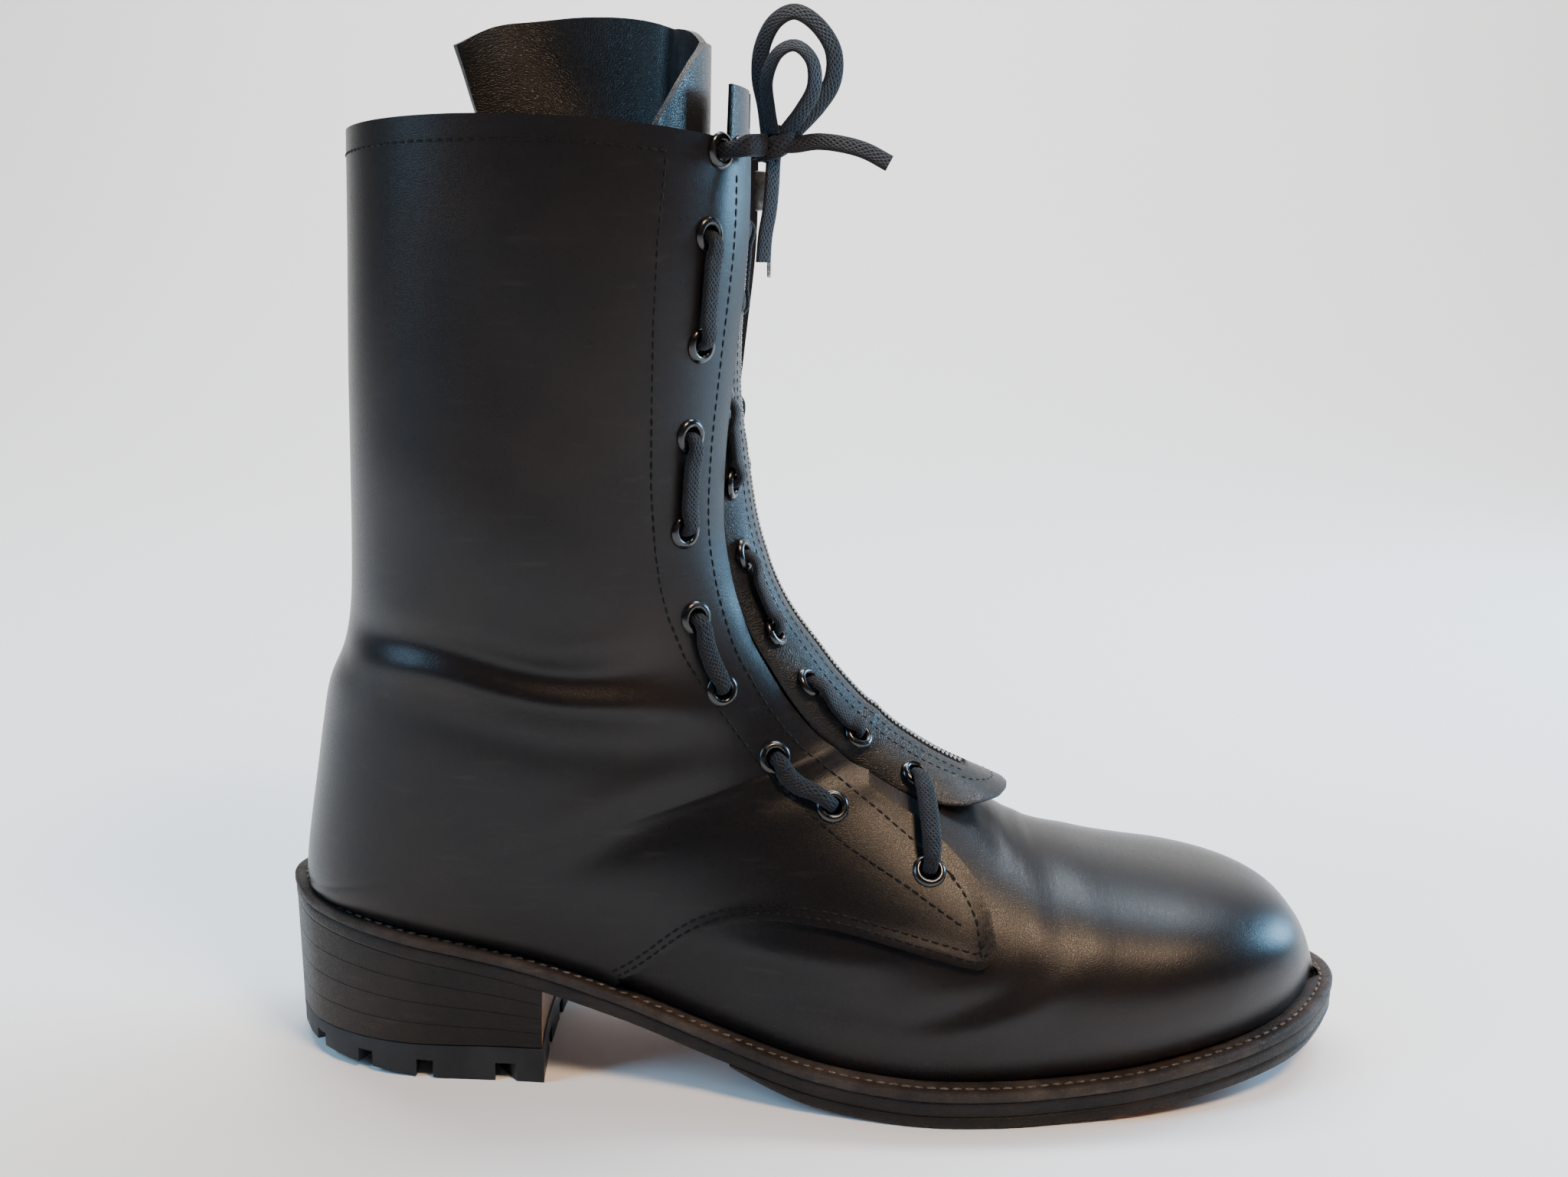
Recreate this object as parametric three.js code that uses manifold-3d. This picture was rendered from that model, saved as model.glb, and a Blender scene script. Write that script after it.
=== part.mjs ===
// A right-foot lace-up leather combat boot with a laced-in zip panel, standing on its sole.
// X runs from heel to toe, -Y is the outer (lateral) side and Z is up from the ground.
import * as THREE from "three";
import { mergeVertices } from "three/addons/utils/BufferGeometryUtils.js";
import Module from "manifold-3d";

const wasm = await Module();
wasm.setup();

// Driving sizes, in millimetres
const LENGTH = 300; // outsole, heel to toe
const BALL_WIDTH = 104; // outsole across the ball
const HEEL_RISE = 37.3; // top of the welt at the heel above its top at the ball
const TOE_SPRING = 11.1; // top of the welt at the toe above its top at the ball
const INSTEP = 84.2; // crown of the instep above the welt at the ball
const COLLAR_HEIGHT = 252; // back of the collar above the ground
const COLLAR_WIDTH = 104.6; // shaft across the collar

// Thicknesses and clearances, in millimetres
const GAP = 0.3; // between curved pieces that meet
const WELT = 2.8;
const OUTSOLE = 3.5;
const HALF_SOLE = 3.5;
const LEDGE = 6.6; // welt that shows outside the upper
const WELT_RING = 16; // welt from its outer to its inner edge
const VAMP_WALL = 1.6;
const QUARTER_STEP = 1.2; // the quarter lies this much above the vamp
const INSOLE = 2.6;
const TONGUE = 1.8;
const PANEL = 2;
const LACE_RADIUS = 1.4;
const FINEST = 0.15; // facets of the upper flatter than this are merged
const EYELET = { hole: 2.6, inner: 2.3, outer: 4.6, height: 0.8, rest: 0.75 };

// Heel, in millimetres
const HEEL = { length: 80, hollow: 5, lifts: 4, inset: 0.5, taper: 0.7, rubber: 10, lug: 5 };

// Throat, facings and zip panel, in millimetres
const THROAT = { half: 19.5, start: 0.3, end: 188, floor: 60 }; // start is a share of LENGTH
const FACING_INSET = 15; // eyelet centre behind the facing's edge
const PANEL_HALF = 17.6;
const PANEL_EYELET = 12.4; // panel eyelet centre off the centre line
const ZIP = { half: 2.2, height: 0.9, end: 19 };
const HALF_SOLE_END = 128; // from the heel

const SOLE_STACK = WELT + OUTSOLE + HALF_SOLE + 2 * GAP;
const LATERAL = -1;
const MEDIAL = 1;

const range = (count) => [...Array(count).keys()];
const clamp = THREE.MathUtils.clamp;
const table = (names, rows) =>
  rows.map((row) => Object.fromEntries(names.map((name, i) => [name, row[i]])));

// A smooth curve through one column of a table, along another column or along the row number.
function through(rows, column, place = (row, i) => i) {
  const at = rows.map(place);
  const value = rows.map((row) => row[column]);
  const rise = value.slice(1).map((v, i) => (v - value[i]) / (at[i + 1] - at[i]));
  const slope = value.map((v, i) => ((rise[i - 1] ?? rise[i]) + (rise[i] ?? rise[i - 1])) / 2);
  const last = at.length - 1;
  return (x) => {
    if (x <= at[0]) return value[0] + slope[0] * (x - at[0]);
    if (x >= at[last]) return value[last];
    const i = at.findIndex((a) => a > x) - 1;
    const width = at[i + 1] - at[i];
    const p = (x - at[i]) / width;
    return (
      (2 * p ** 3 - 3 * p ** 2 + 1) * value[i] +
      (p ** 3 - 2 * p ** 2 + p) * width * slope[i] +
      (3 * p ** 2 - 2 * p ** 3) * value[i + 1] +
      (p ** 3 - p ** 2) * width * slope[i + 1]
    );
  };
}

// Outline of the sole: distance from the centre line, in shares of the ball width.
const OUTLINE = table(["x", "lateral", "medial"], [
  [0, 0, 0],
  [0.01, 0.101, 0.109],
  [0.04, 0.225, 0.239],
  [0.12, 0.337, 0.348],
  [0.25, 0.352, 0.35],
  [0.4, 0.403, 0.301],
  [0.5, 0.476, 0.301],
  [0.6, 0.528, 0.376],
  [0.66, 0.522, 0.457],
  [0.72, 0.492, 0.509],
  [0.8, 0.443, 0.514],
  [0.88, 0.358, 0.467],
  [0.94, 0.247, 0.374],
  [0.98, 0.1, 0.244],
  [1, -0.073, 0.073],
]);
const turnOf = (row) => Math.acos(1 - 2 * row.x) / Math.PI;
const OUTLINE_WIDTH = {
  [LATERAL]: through(OUTLINE, "lateral", turnOf),
  [MEDIAL]: through(OUTLINE, "medial", turnOf),
};

// The outline moved inwards, as points from heel to toe along each side.
function sidesInset(distance, steps) {
  const edge = range(2 * steps).map((i) => {
    const side = i <= steps ? LATERAL : MEDIAL;
    const turn = i <= steps ? i / steps : 2 - i / steps;
    const x = (LENGTH * (1 - Math.cos(Math.PI * turn))) / 2;
    return new THREE.Vector2(x, side * BALL_WIDTH * OUTLINE_WIDTH[side](turn));
  });
  const moved = edge.map((point, i) => {
    const before = edge.at(i - 1);
    const after = edge[(i + 1) % edge.length];
    const way = after.clone().sub(before).normalize();
    return new THREE.Vector2(point.x - way.y * distance, point.y + way.x * distance);
  });
  const back = moved.slice(steps + 1).reverse();
  return {
    [LATERAL]: moved.slice(0, steps + 1),
    [MEDIAL]: [moved[0], ...back, moved[steps]],
  };
}

// Height of the welt's top: shares of the heel rise and of the toe spring.
const WELT_LINE = table(["x", "rise", "spring"], [
  [0, 1, 0],
  [0.117, 0.853, 0],
  [0.25, 0.627, 0],
  [0.333, 0.434, 0],
  [0.417, 0.212, 0],
  [0.5, 0.054, 0],
  [0.583, 0, 0],
  [0.683, 0, 0],
  [0.767, 0, 0.108],
  [0.85, 0, 0.378],
  [0.933, 0, 0.7],
  [1, 0, 1],
]);
const riseAt = through(WELT_LINE, "rise", (row) => row.x);
const springAt = through(WELT_LINE, "spring", (row) => row.x);
const weltTop = (x) =>
  SOLE_STACK +
  HEEL_RISE * Math.max(riseAt(x / LENGTH), 0) +
  TOE_SPRING * Math.max(springAt(x / LENGTH), 0);
const outsoleTop = (x) => weltTop(x) - WELT - GAP;
const outsoleBottom = (x) => outsoleTop(x) - OUTSOLE;

// The feather line, where the upper meets the welt
const FEATHER = sidesInset(LEDGE, 160);
const FEATHER_START = FEATHER[LATERAL][0].x;
const FEATHER_END = FEATHER[LATERAL].at(-1).x;
const TOE_SWING = FEATHER[LATERAL].at(-1).y;
function featherAt(side, x) {
  const line = FEATHER[side];
  const i = clamp(line.findIndex((point) => point.x >= x), 1, line.length - 1);
  const share = clamp((x - line[i - 1].x) / (line[i].x - line[i - 1].x), 0, 1);
  return line[i - 1].y + share * (line[i].y - line[i - 1].y);
}
const along = (share) => FEATHER_START + share * (FEATHER_END - FEATHER_START);
const SEAT = weltTop(FEATHER_START) + GAP;
const TOE_SEAT = weltTop(FEATHER_END) + GAP;
const INSTEP_TOP = SOLE_STACK + INSTEP;

// Rows of the shaft, from the collar down. backX and frontX are shares of the feather line's
// length, backZ of the heel seat to collar height, frontZ of the instep to collar height, half
// of the collar's half width. widest is the share from back to front where a row is widest.
const SHAFT = table(["backX", "backZ", "frontX", "frontZ", "half", "widest"], [
  [0.0676, 1, 0.4383, 0.981, 1, 0.5],
  [0.0649, 0.863, 0.4372, 0.822, 0.981, 0.5],
  [0.0614, 0.716, 0.4275, 0.644, 0.956, 0.5],
  [0.0593, 0.578, 0.4198, 0.492, 0.927, 0.5],
  [0.0572, 0.471, 0.4191, 0.368, 0.899, 0.5],
  [0.0537, 0.392, 0.4282, 0.279, 0.87, 0.49],
  [0.0453, 0.336, 0.4407, 0.216, 0.836, 0.48],
  [0.0293, 0.284, 0.4557, 0.164, 0.808, 0.46],
  [0.0209, 0.226, 0.4749, 0.116, 0.788, 0.44],
  [0.0132, 0.162, 0.4951, 0.072, 0.774, 0.42],
  [0.0049, 0.093, 0.516, 0.037, 0.765, 0.4],
  [-0.001, 0.034, 0.5349, 0.011, 0.76, 0.385],
]);

// Rows of the foot, from heel to toe: where a row leaves the feather line, its crown in shares
// of the feather line's length and of the toe seat to instep height, its bulge to each side in
// shares of the ball width, where it is widest, how square its crown is, and its swing inwards.
const FOOT = table(["baseX", "crownX", "crownZ", "lateral", "medial", "widest", "round", "swing"], [
  [0, 0.547, 1, 0.38, 0.38, 0.375, 2.1, 0],
  [0.0153, 0.552, 0.986, 0.38, 0.38, 0.37, 2.1, 0],
  [0.0467, 0.559, 0.967, 0.379, 0.379, 0.37, 2.05, 0],
  [0.0955, 0.568, 0.941, 0.378, 0.377, 0.37, 2, 0],
  [0.165, 0.58, 0.91, 0.377, 0.37, 0.37, 2, 0],
  [0.249, 0.596, 0.868, 0.379, 0.358, 0.37, 1.95, 0],
  [0.326, 0.613, 0.822, 0.389, 0.348, 0.36, 1.95, 0],
  [0.399, 0.634, 0.767, 0.41, 0.343, 0.35, 1.95, 0.066],
  [0.472, 0.66, 0.699, 0.441, 0.348, 0.33, 2, 0.2],
  [0.545, 0.6925, 0.627, 0.469, 0.369, 0.31, 2.05, 0.33],
  [0.6185, 0.729, 0.57, 0.483, 0.4, 0.3, 2.1, 0.5],
  [0.692, 0.77, 0.525, 0.473, 0.441, 0.3, 2.15, 0.66],
  [0.7615, 0.8155, 0.488, 0.447, 0.469, 0.31, 2.2, 0.79],
  [0.824, 0.86, 0.4575, 0.41, 0.465, 0.33, 2.3, 0.9],
  [0.88, 0.901, 0.422, 0.355, 0.431, 0.35, 2.35, 0.96],
  [0.925, 0.9365, 0.375, 0.28, 0.374, 0.37, 2.4, 1],
  [0.957, 0.963, 0.315, 0.197, 0.301, 0.4, 2.4, 1],
  [0.978, 0.981, 0.2355, 0.109, 0.223, 0.44, 2.3, 1],
  [0.991, 0.992, 0.148, 0.031, 0.156, 0.48, 2.2, 1],
  [0.9976, 0.998, 0.078, 0, 0.109, 0.5, 2.1, 1],
  [1, 1, 0, 0, 0, 0.5, 2, 1],
]);
const SHAFT_ROUND = 2.1;
const BACK_ROUND = 2.2;
const UNDER_ROUND = 1.6;

const ROWS = [
  ...SHAFT.map((row) => ({
    baseX: along(row.backX),
    baseZ: SEAT + row.backZ * (COLLAR_HEIGHT - SEAT),
    crownX: along(row.frontX),
    crownZ: INSTEP_TOP + row.frontZ * (COLLAR_HEIGHT - INSTEP_TOP),
    lateral: (row.half * COLLAR_WIDTH) / 2,
    medial: (row.half * COLLAR_WIDTH) / 2,
    widest: row.widest,
    round: SHAFT_ROUND,
    under: BACK_ROUND,
    swing: 0,
  })),
  ...FOOT.map((row, i) => ({
    baseX: along(row.baseX),
    baseZ: weltTop(along(row.baseX)) + GAP,
    crownX: along(row.crownX),
    crownZ: TOE_SEAT + row.crownZ * (INSTEP_TOP - TOE_SEAT),
    lateral: row.lateral * BALL_WIDTH,
    medial: row.medial * BALL_WIDTH,
    widest: row.widest,
    round: row.round,
    under: Math.max(BACK_ROUND - 0.1 * i, UNDER_ROUND),
    swing: row.swing * TOE_SWING,
  })),
];
const FIRST_FOOT_ROW = SHAFT.length;
const TOE_ROW = ROWS.length - 1;
const ROW_CURVES = Object.fromEntries(
  Object.keys(ROWS[0]).map((name) => [name, through(ROWS, name)]),
);

// A point of the last: u is the row, v runs round it from the back or lateral feather line (-1)
// over the crown (0) to the back or medial feather line (1).
function lastPoint(u, v) {
  const row = Object.fromEntries(Object.entries(ROW_CURVES).map(([name, at]) => [name, at(u)]));
  const side = v < 0 ? LATERAL : MEDIAL;
  let feather = 0;
  if (u >= FIRST_FOOT_ROW) {
    row.baseX = clamp(row.baseX, FEATHER_START, FEATHER_END);
    row.baseZ = weltTop(row.baseX) + GAP;
    feather = Math.max(side * (featherAt(side, row.baseX) - row.swing), 0);
  }
  const bulge = v < 0 ? row.lateral + row.swing : row.medial - row.swing;
  const width = Math.max(bulge, feather, 0);
  const angle = Math.PI * Math.abs(v);
  const cosine = Math.abs(Math.cos(angle));
  const sine = Math.abs(Math.sin(angle));
  const above = angle <= Math.PI / 2;
  const share = above
    ? row.widest + (1 - row.widest) * cosine ** (2 / row.round)
    : row.widest * (1 - cosine ** (2 / row.under));
  const out = above
    ? width * sine ** (2 / row.round)
    : feather + (width - feather) * sine ** (2 / row.under);
  return new THREE.Vector3(
    row.baseX + (row.crownX - row.baseX) * share,
    row.swing + side * out,
    row.baseZ + (row.crownZ - row.baseZ) * share,
  );
}

// The outward direction of the last there; at the feather line it is taken a little way up.
function outward(u, v) {
  if (u > TOE_ROW - 0.03) return new THREE.Vector3(1, 0, 0);
  const near = clamp(v, -0.95, 0.95);
  const down = lastPoint(u + 0.02, near).sub(lastPoint(u - 0.02, near));
  const round = lastPoint(u, near + 0.01).sub(lastPoint(u, near - 0.01));
  const way = down.cross(round).normalize();
  if (Math.abs(v) === 1 && u <= FIRST_FOOT_ROW) way.setY(0).normalize();
  return way;
}
const skin = (u, v, rise) => lastPoint(u, v).addScaledVector(outward(u, v), rise);

// The v of one side of a row whose skin stands a given distance off the centre plane
function acrossBy(u, side, distance) {
  let low = 0;
  let high = 0.5;
  range(24).forEach(() => {
    const middle = (low + high) / 2;
    if (side * lastPoint(u, side * middle).y < distance) low = middle;
    else high = middle;
  });
  return side * low;
}

// The v of one side of a row that lies a given way behind the throat's edge, along the skin
function behindThroat(u, side, distance) {
  let v = acrossBy(u, side, THROAT.half);
  let point = lastPoint(u, v);
  for (let gone = 0; gone < distance; ) {
    v += side * 0.002;
    const next = lastPoint(u, v);
    gone += next.distanceTo(point);
    point = next;
  }
  return v;
}

// Solids from three.js geometry
function toSolid(geometry) {
  const bare = new THREE.BufferGeometry();
  bare.setAttribute("position", geometry.getAttribute("position"));
  bare.setIndex(geometry.index);
  const merged = mergeVertices(bare, 1e-4);
  const corners = [];
  const index = merged.index.array;
  for (let i = 0; i < index.length; i += 3) {
    const [a, b, c] = index.slice(i, i + 3);
    if (a !== b && b !== c && c !== a) corners.push(a, b, c);
  }
  const build = (triVerts) =>
    new wasm.Manifold(
      new wasm.Mesh({
        numProp: 3,
        vertProperties: merged.attributes.position.array,
        triVerts: Uint32Array.from(triVerts),
      }),
    );
  const made = build(corners);
  return made.volume() < 0 ? build(corners.reverse()) : made;
}

function closedBody(points, faces) {
  const geometry = new THREE.BufferGeometry().setFromPoints(points);
  return toSolid(geometry.setIndex(faces));
}

// A body through closed rings of points, closed at both ends
function tube(rings) {
  const count = rings[0].length;
  const middle = (ring) =>
    ring.reduce((sum, point) => sum.add(point), new THREE.Vector3()).divideScalar(count);
  const points = [...rings.flat(), middle(rings[0]), middle(rings.at(-1))];
  const faces = [];
  rings.slice(1).forEach((_, i) =>
    range(count).forEach((j) => {
      const next = (j + 1) % count;
      const [a, b] = [i * count + j, i * count + next];
      faces.push(a, b, b + count, a, b + count, a + count);
    }),
  );
  const lastRing = (rings.length - 1) * count;
  range(count).forEach((j) => {
    const next = (j + 1) % count;
    faces.push(next, j, points.length - 2);
    faces.push(lastRing + j, lastRing + next, points.length - 1);
  });
  return closedBody(points, faces);
}

// A body between two grids of points of the same shape
function slab(front, back) {
  const rows = front.length;
  const columns = front[0].length;
  const faces = [];
  const f = (i, j) => i * columns + j;
  const b = (i, j) => f(i, j) + rows * columns;
  const quad = (p, q, r, s) => faces.push(p, q, r, p, r, s);
  range(rows - 1).forEach((i) =>
    range(columns - 1).forEach((j) => {
      quad(f(i, j), f(i, j + 1), f(i + 1, j + 1), f(i + 1, j));
      quad(b(i, j), b(i + 1, j), b(i + 1, j + 1), b(i, j + 1));
    }),
  );
  const [r, c] = [rows - 1, columns - 1];
  range(r).forEach((i) => {
    quad(f(i, 0), f(i + 1, 0), b(i + 1, 0), b(i, 0));
    quad(f(i, c), b(i, c), b(i + 1, c), f(i + 1, c));
  });
  range(c).forEach((j) => {
    quad(f(0, j), b(0, j), b(0, j + 1), f(0, j + 1));
    quad(f(r, j), f(r, j + 1), b(r, j + 1), b(r, j));
  });
  return closedBody([...front.flat(), ...back.flat()], faces);
}

// A side view's shape as a cutter through the whole width
function sideCutter(shape, halfWidth, curveSteps = 6) {
  const options = { depth: 2 * halfWidth, bevelEnabled: false, curveSegments: curveSteps };
  const geometry = new THREE.ExtrudeGeometry(shape, options);
  geometry.translate(0, 0, -halfWidth).rotateX(Math.PI / 2);
  return toSolid(geometry);
}

// A sole piece with the sole's outline, between two heights that follow the welt
const PLATE_STEPS = 32;
function plate(insetTop, insetBottom, top, bottom) {
  const grid = (inset, height) => {
    const sides = sidesInset(inset, PLATE_STEPS);
    return sides[LATERAL].map((point, i) =>
      [point, sides[MEDIAL][i]].map((p) => new THREE.Vector3(p.x, p.y, height(p.x))),
    );
  };
  return slab(grid(insetTop, top), grid(insetBottom, bottom));
}

const box = (from, to) =>
  toSolid(
    new THREE.BoxGeometry(to[0] - from[0], to[1] - from[1], to[2] - from[2]).translate(
      (to[0] + from[0]) / 2,
      (to[1] + from[1]) / 2,
      (to[2] + from[2]) / 2,
    ),
  );

// The scene graph
const boot = new THREE.Group();
const paint = (color, roughness, metalness = 0) =>
  new THREE.MeshStandardMaterial({ color, roughness, metalness });
const LOOK = {
  leather: paint(0x1b1a1d, 0.42),
  quarterLining: paint(0x4a3426, 0.8),
  edge: paint(0x241b17, 0.6),
  soleLeather: paint(0x8a4f35, 0.6),
  liftLeather: paint(0x2a1f1a, 0.55),
  rubber: paint(0x1d1f22, 0.7),
  enamel: paint(0x0d0d0f, 0.25, 0.6),
  lace: paint(0x1a1c24, 0.85),
  zip: paint(0x8f8f8c, 0.35, 0.9),
};
function add(name, solid, material) {
  const mesh = solid.getMesh();
  const corners = new Float32Array(mesh.numVert * 3);
  range(mesh.numVert).forEach((i) =>
    corners.set(mesh.vertProperties.subarray(i * mesh.numProp, i * mesh.numProp + 3), i * 3),
  );
  const geometry = new THREE.BufferGeometry();
  geometry.setAttribute("position", new THREE.BufferAttribute(corners, 3));
  geometry.setIndex(new THREE.BufferAttribute(mesh.triVerts, 1));
  geometry.computeVertexNormals();
  const piece = new THREE.Mesh(geometry, material);
  piece.name = name;
  boot.add(piece);
}

// Welt, outsole and half sole
function soleUnit() {
  const weltUnder = (x) => weltTop(x) - WELT;
  const opening = plate(WELT_RING, WELT_RING, (x) => weltTop(x) + 1, (x) => weltUnder(x) - 1);
  const welt = plate(0, 0, weltTop, weltUnder).subtract(opening);
  add("welt", welt.simplify(FINEST), LOOK.edge);
  add("outsole", plate(0.6, 0.8, outsoleTop, outsoleBottom), LOOK.edge);
  const halfTop = (x) => outsoleBottom(x) - GAP;
  const halfBottom = (x) => halfTop(x) - HALF_SOLE;
  const forepart = box([HALF_SOLE_END, -BALL_WIDTH, -1], [LENGTH + 1, BALL_WIDTH, SOLE_STACK * 4]);
  add("half_sole", plate(0.6, 1.4, halfTop, halfBottom).intersect(forepart), LOOK.soleLeather);
}
soleUnit();

// Heel: leather lifts that share the wedge under the seat, on a lugged rubber top piece
function heel() {
  const plan = new THREE.Shape();
  plan.moveTo(-1, -BALL_WIDTH / 2);
  plan.lineTo(HEEL.length, -BALL_WIDTH / 2);
  plan.quadraticCurveTo(HEEL.length - 2 * HEEL.hollow, 0, HEEL.length, BALL_WIDTH / 2);
  plan.lineTo(-1, BALL_WIDTH / 2);
  const block = new THREE.ExtrudeGeometry(plan, {
    depth: SOLE_STACK + HEEL_RISE + 2,
    bevelEnabled: false,
    curveSegments: 6,
  }).translate(0, 0, -1);
  const behindBreast = toSolid(block);
  const inset = (share) => HEEL.inset + HEEL.taper * (1 - share);
  const level = (share) => (x) => HEEL.rubber + (outsoleBottom(x) - HEEL.rubber) * share;
  range(HEEL.lifts).forEach((i) => {
    const [low, high] = [i / HEEL.lifts, (i + 1) / HEEL.lifts];
    const lift = plate(
      inset(high),
      inset(low),
      (x) => level(high)(x) - GAP,
      level(low),
    ).intersect(behindBreast);
    add(`heel_lift_${i + 1}`, lift, LOOK.liftLeather);
  });
  const top = HEEL.rubber - GAP;
  const flat = plate(inset(0), inset(0), () => top, () => 0).intersect(behindBreast);
  add("heel_top_piece", flat.subtract(lugGrooves()), LOOK.rubber);
}

// Grooves between the rubber's lugs: a ring round the middle and spokes out to the edge
const LUGS = { centre: 40, count: 12, disc: 9, ring: 5, spoke: 4.5, turn: 0.13 };
function lugGrooves() {
  const profile = [
    [LUGS.disc, -1],
    [LUGS.disc + LUGS.ring, -1],
    [LUGS.disc + LUGS.ring - 1, HEEL.lug],
    [LUGS.disc + 1, HEEL.lug],
    [LUGS.disc, -1],
  ].map(([r, z]) => new THREE.Vector2(r, z));
  const ring = new THREE.LatheGeometry(profile, 12).rotateX(Math.PI / 2);
  ring.translate(LUGS.centre, 0, 0);
  const cuts = range(LUGS.count).map((i) => {
    const spoke = new THREE.BoxGeometry(HEEL.length, LUGS.spoke, HEEL.lug + 1);
    spoke.translate(LUGS.disc + LUGS.ring - 2 + HEEL.length / 2, 0, (HEEL.lug - 1) / 2);
    spoke.rotateZ((2 * Math.PI * i) / LUGS.count + LUGS.turn);
    return toSolid(spoke.translate(LUGS.centre, 0, 0));
  });
  return cuts.reduce((all, cut) => all.add(cut), toSolid(ring));
}
heel();

// Side view of the quarter: everything behind the vamp, with a rounded tip over it.
// Points are shares of the sole's length and of the instep's height above the ground.
const BEYOND = 20; // how far a side view's cutter reaches behind the heel
const QUARTER = {
  weltEnd: [0.313, 0.2],
  lowerSeam: [
    [0.327, 0.317],
    [0.35, 0.37],
    [0.39, 0.476],
    [0.424, 0.523],
    [0.46, 0.538],
    [0.51, 0.523],
    [0.56, 0.492],
    [0.6, 0.463],
    [0.636, 0.438],
  ],
  tip: [
    [0.648, 0.445],
    [0.657, 0.48],
    [0.655, 0.53],
  ],
  frontEdge: [
    [0.652, 0.571],
    [0.641, 0.634],
    [0.625, 0.69],
    [0.59, 0.782],
    [0.568, 0.82],
    [0.546, 0.867],
  ],
};
function quarterShape() {
  const point = ([x, z]) => new THREE.Vector2(x * LENGTH, z * INSTEP_TOP);
  const shape = new THREE.Shape();
  shape.moveTo(-BEYOND, 0);
  shape.lineTo(QUARTER.weltEnd[0] * LENGTH, 0);
  shape.lineTo(QUARTER.weltEnd[0] * LENGTH, QUARTER.weltEnd[1] * INSTEP_TOP);
  shape.splineThru(QUARTER.lowerSeam.map(point));
  QUARTER.tip.map(point).forEach((p) => shape.lineTo(p.x, p.y));
  shape.splineThru(QUARTER.frontEdge.map(point));
  const front = QUARTER.frontEdge.at(-1)[0] * LENGTH;
  shape.lineTo(front, INSTEP_TOP * 1.3);
  shape.lineTo(LENGTH, COLLAR_HEIGHT * 1.3);
  shape.lineTo(-BEYOND, COLLAR_HEIGHT * 1.3);
  return shape;
}

// Upper: one hollow wall, raised over the quarter, open at the collar, the throat and underneath
const AROUND = 20;
const SPARED_ROWS = [0, 3, 10, 16, 18]; // rows so near their neighbours that facets skip them
const UPPER_ROWS = [-0.35, ...range(TOE_ROW + 1).filter((u) => !SPARED_ROWS.includes(u))];
const FOOT_DROP = { outer: 2, inner: 8 }; // how far the tubes reach past the feather line
function upperTube(rise, foot) {
  return tube(
    UPPER_ROWS.map((u) => {
      const ring = range(AROUND + 1).map((j) => skin(u, (2 * j) / AROUND - 1, rise));
      const dropped = [ring[0], ring.at(-1)].map((p) => p.clone());
      if (u > FIRST_FOOT_ROW) dropped.forEach((p) => p.setZ(p.z - foot));
      return [dropped[0], ...ring, dropped[1]];
    }),
  );
}
const sideOf = { [LATERAL]: "lateral", [MEDIAL]: "medial" };

// Rows of the ten eyelets down a facing, and of those beside them on the zip panel
const EYELETS = table(["facing", "inset", "panel"], [
  [0.15, -1.5, 0.1],
  [0.95, 1.5, 0.75],
  [1.9, 0, 1.65],
  [2.8, 0, 2.5],
  [4, 0, 3.5],
  [5.8, 0, 4.7],
  [8.1, 0, 7],
  [11, -1.5, 8.9],
  [16.4, 0, 12.6],
  [19.6, 3, 17.4],
]);
function facingEyelet(side, row) {
  const v = behindThroat(row.facing, side, FACING_INSET + row.inset);
  const way = outward(row.facing, v);
  return { at: (rise) => skin(row.facing, v, rise), way, seat: washerSeat(row.facing, v, way) };
}

// How far over the quarter's face a flat washer rests where the face is hollow
function washerSeat(u, v, way) {
  const middle = skin(u, v, QUARTER_STEP);
  const heights = range(17 * 17).map((i) => {
    const [du, dv] = [((i % 17) - 8) * 0.15, (Math.floor(i / 17) - 8) * 0.012];
    const off = skin(u + du, v + dv, QUARTER_STEP).sub(middle);
    const height = off.dot(way);
    return off.addScaledVector(way, -height).length() < EYELET.outer + 2 ? height : 0;
  });
  return QUARTER_STEP + Math.max(...heights) + EYELET.rest;
}
const towards = (way) =>
  new THREE.Quaternion().setFromUnitVectors(new THREE.Vector3(0, 1, 0), way);

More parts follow.
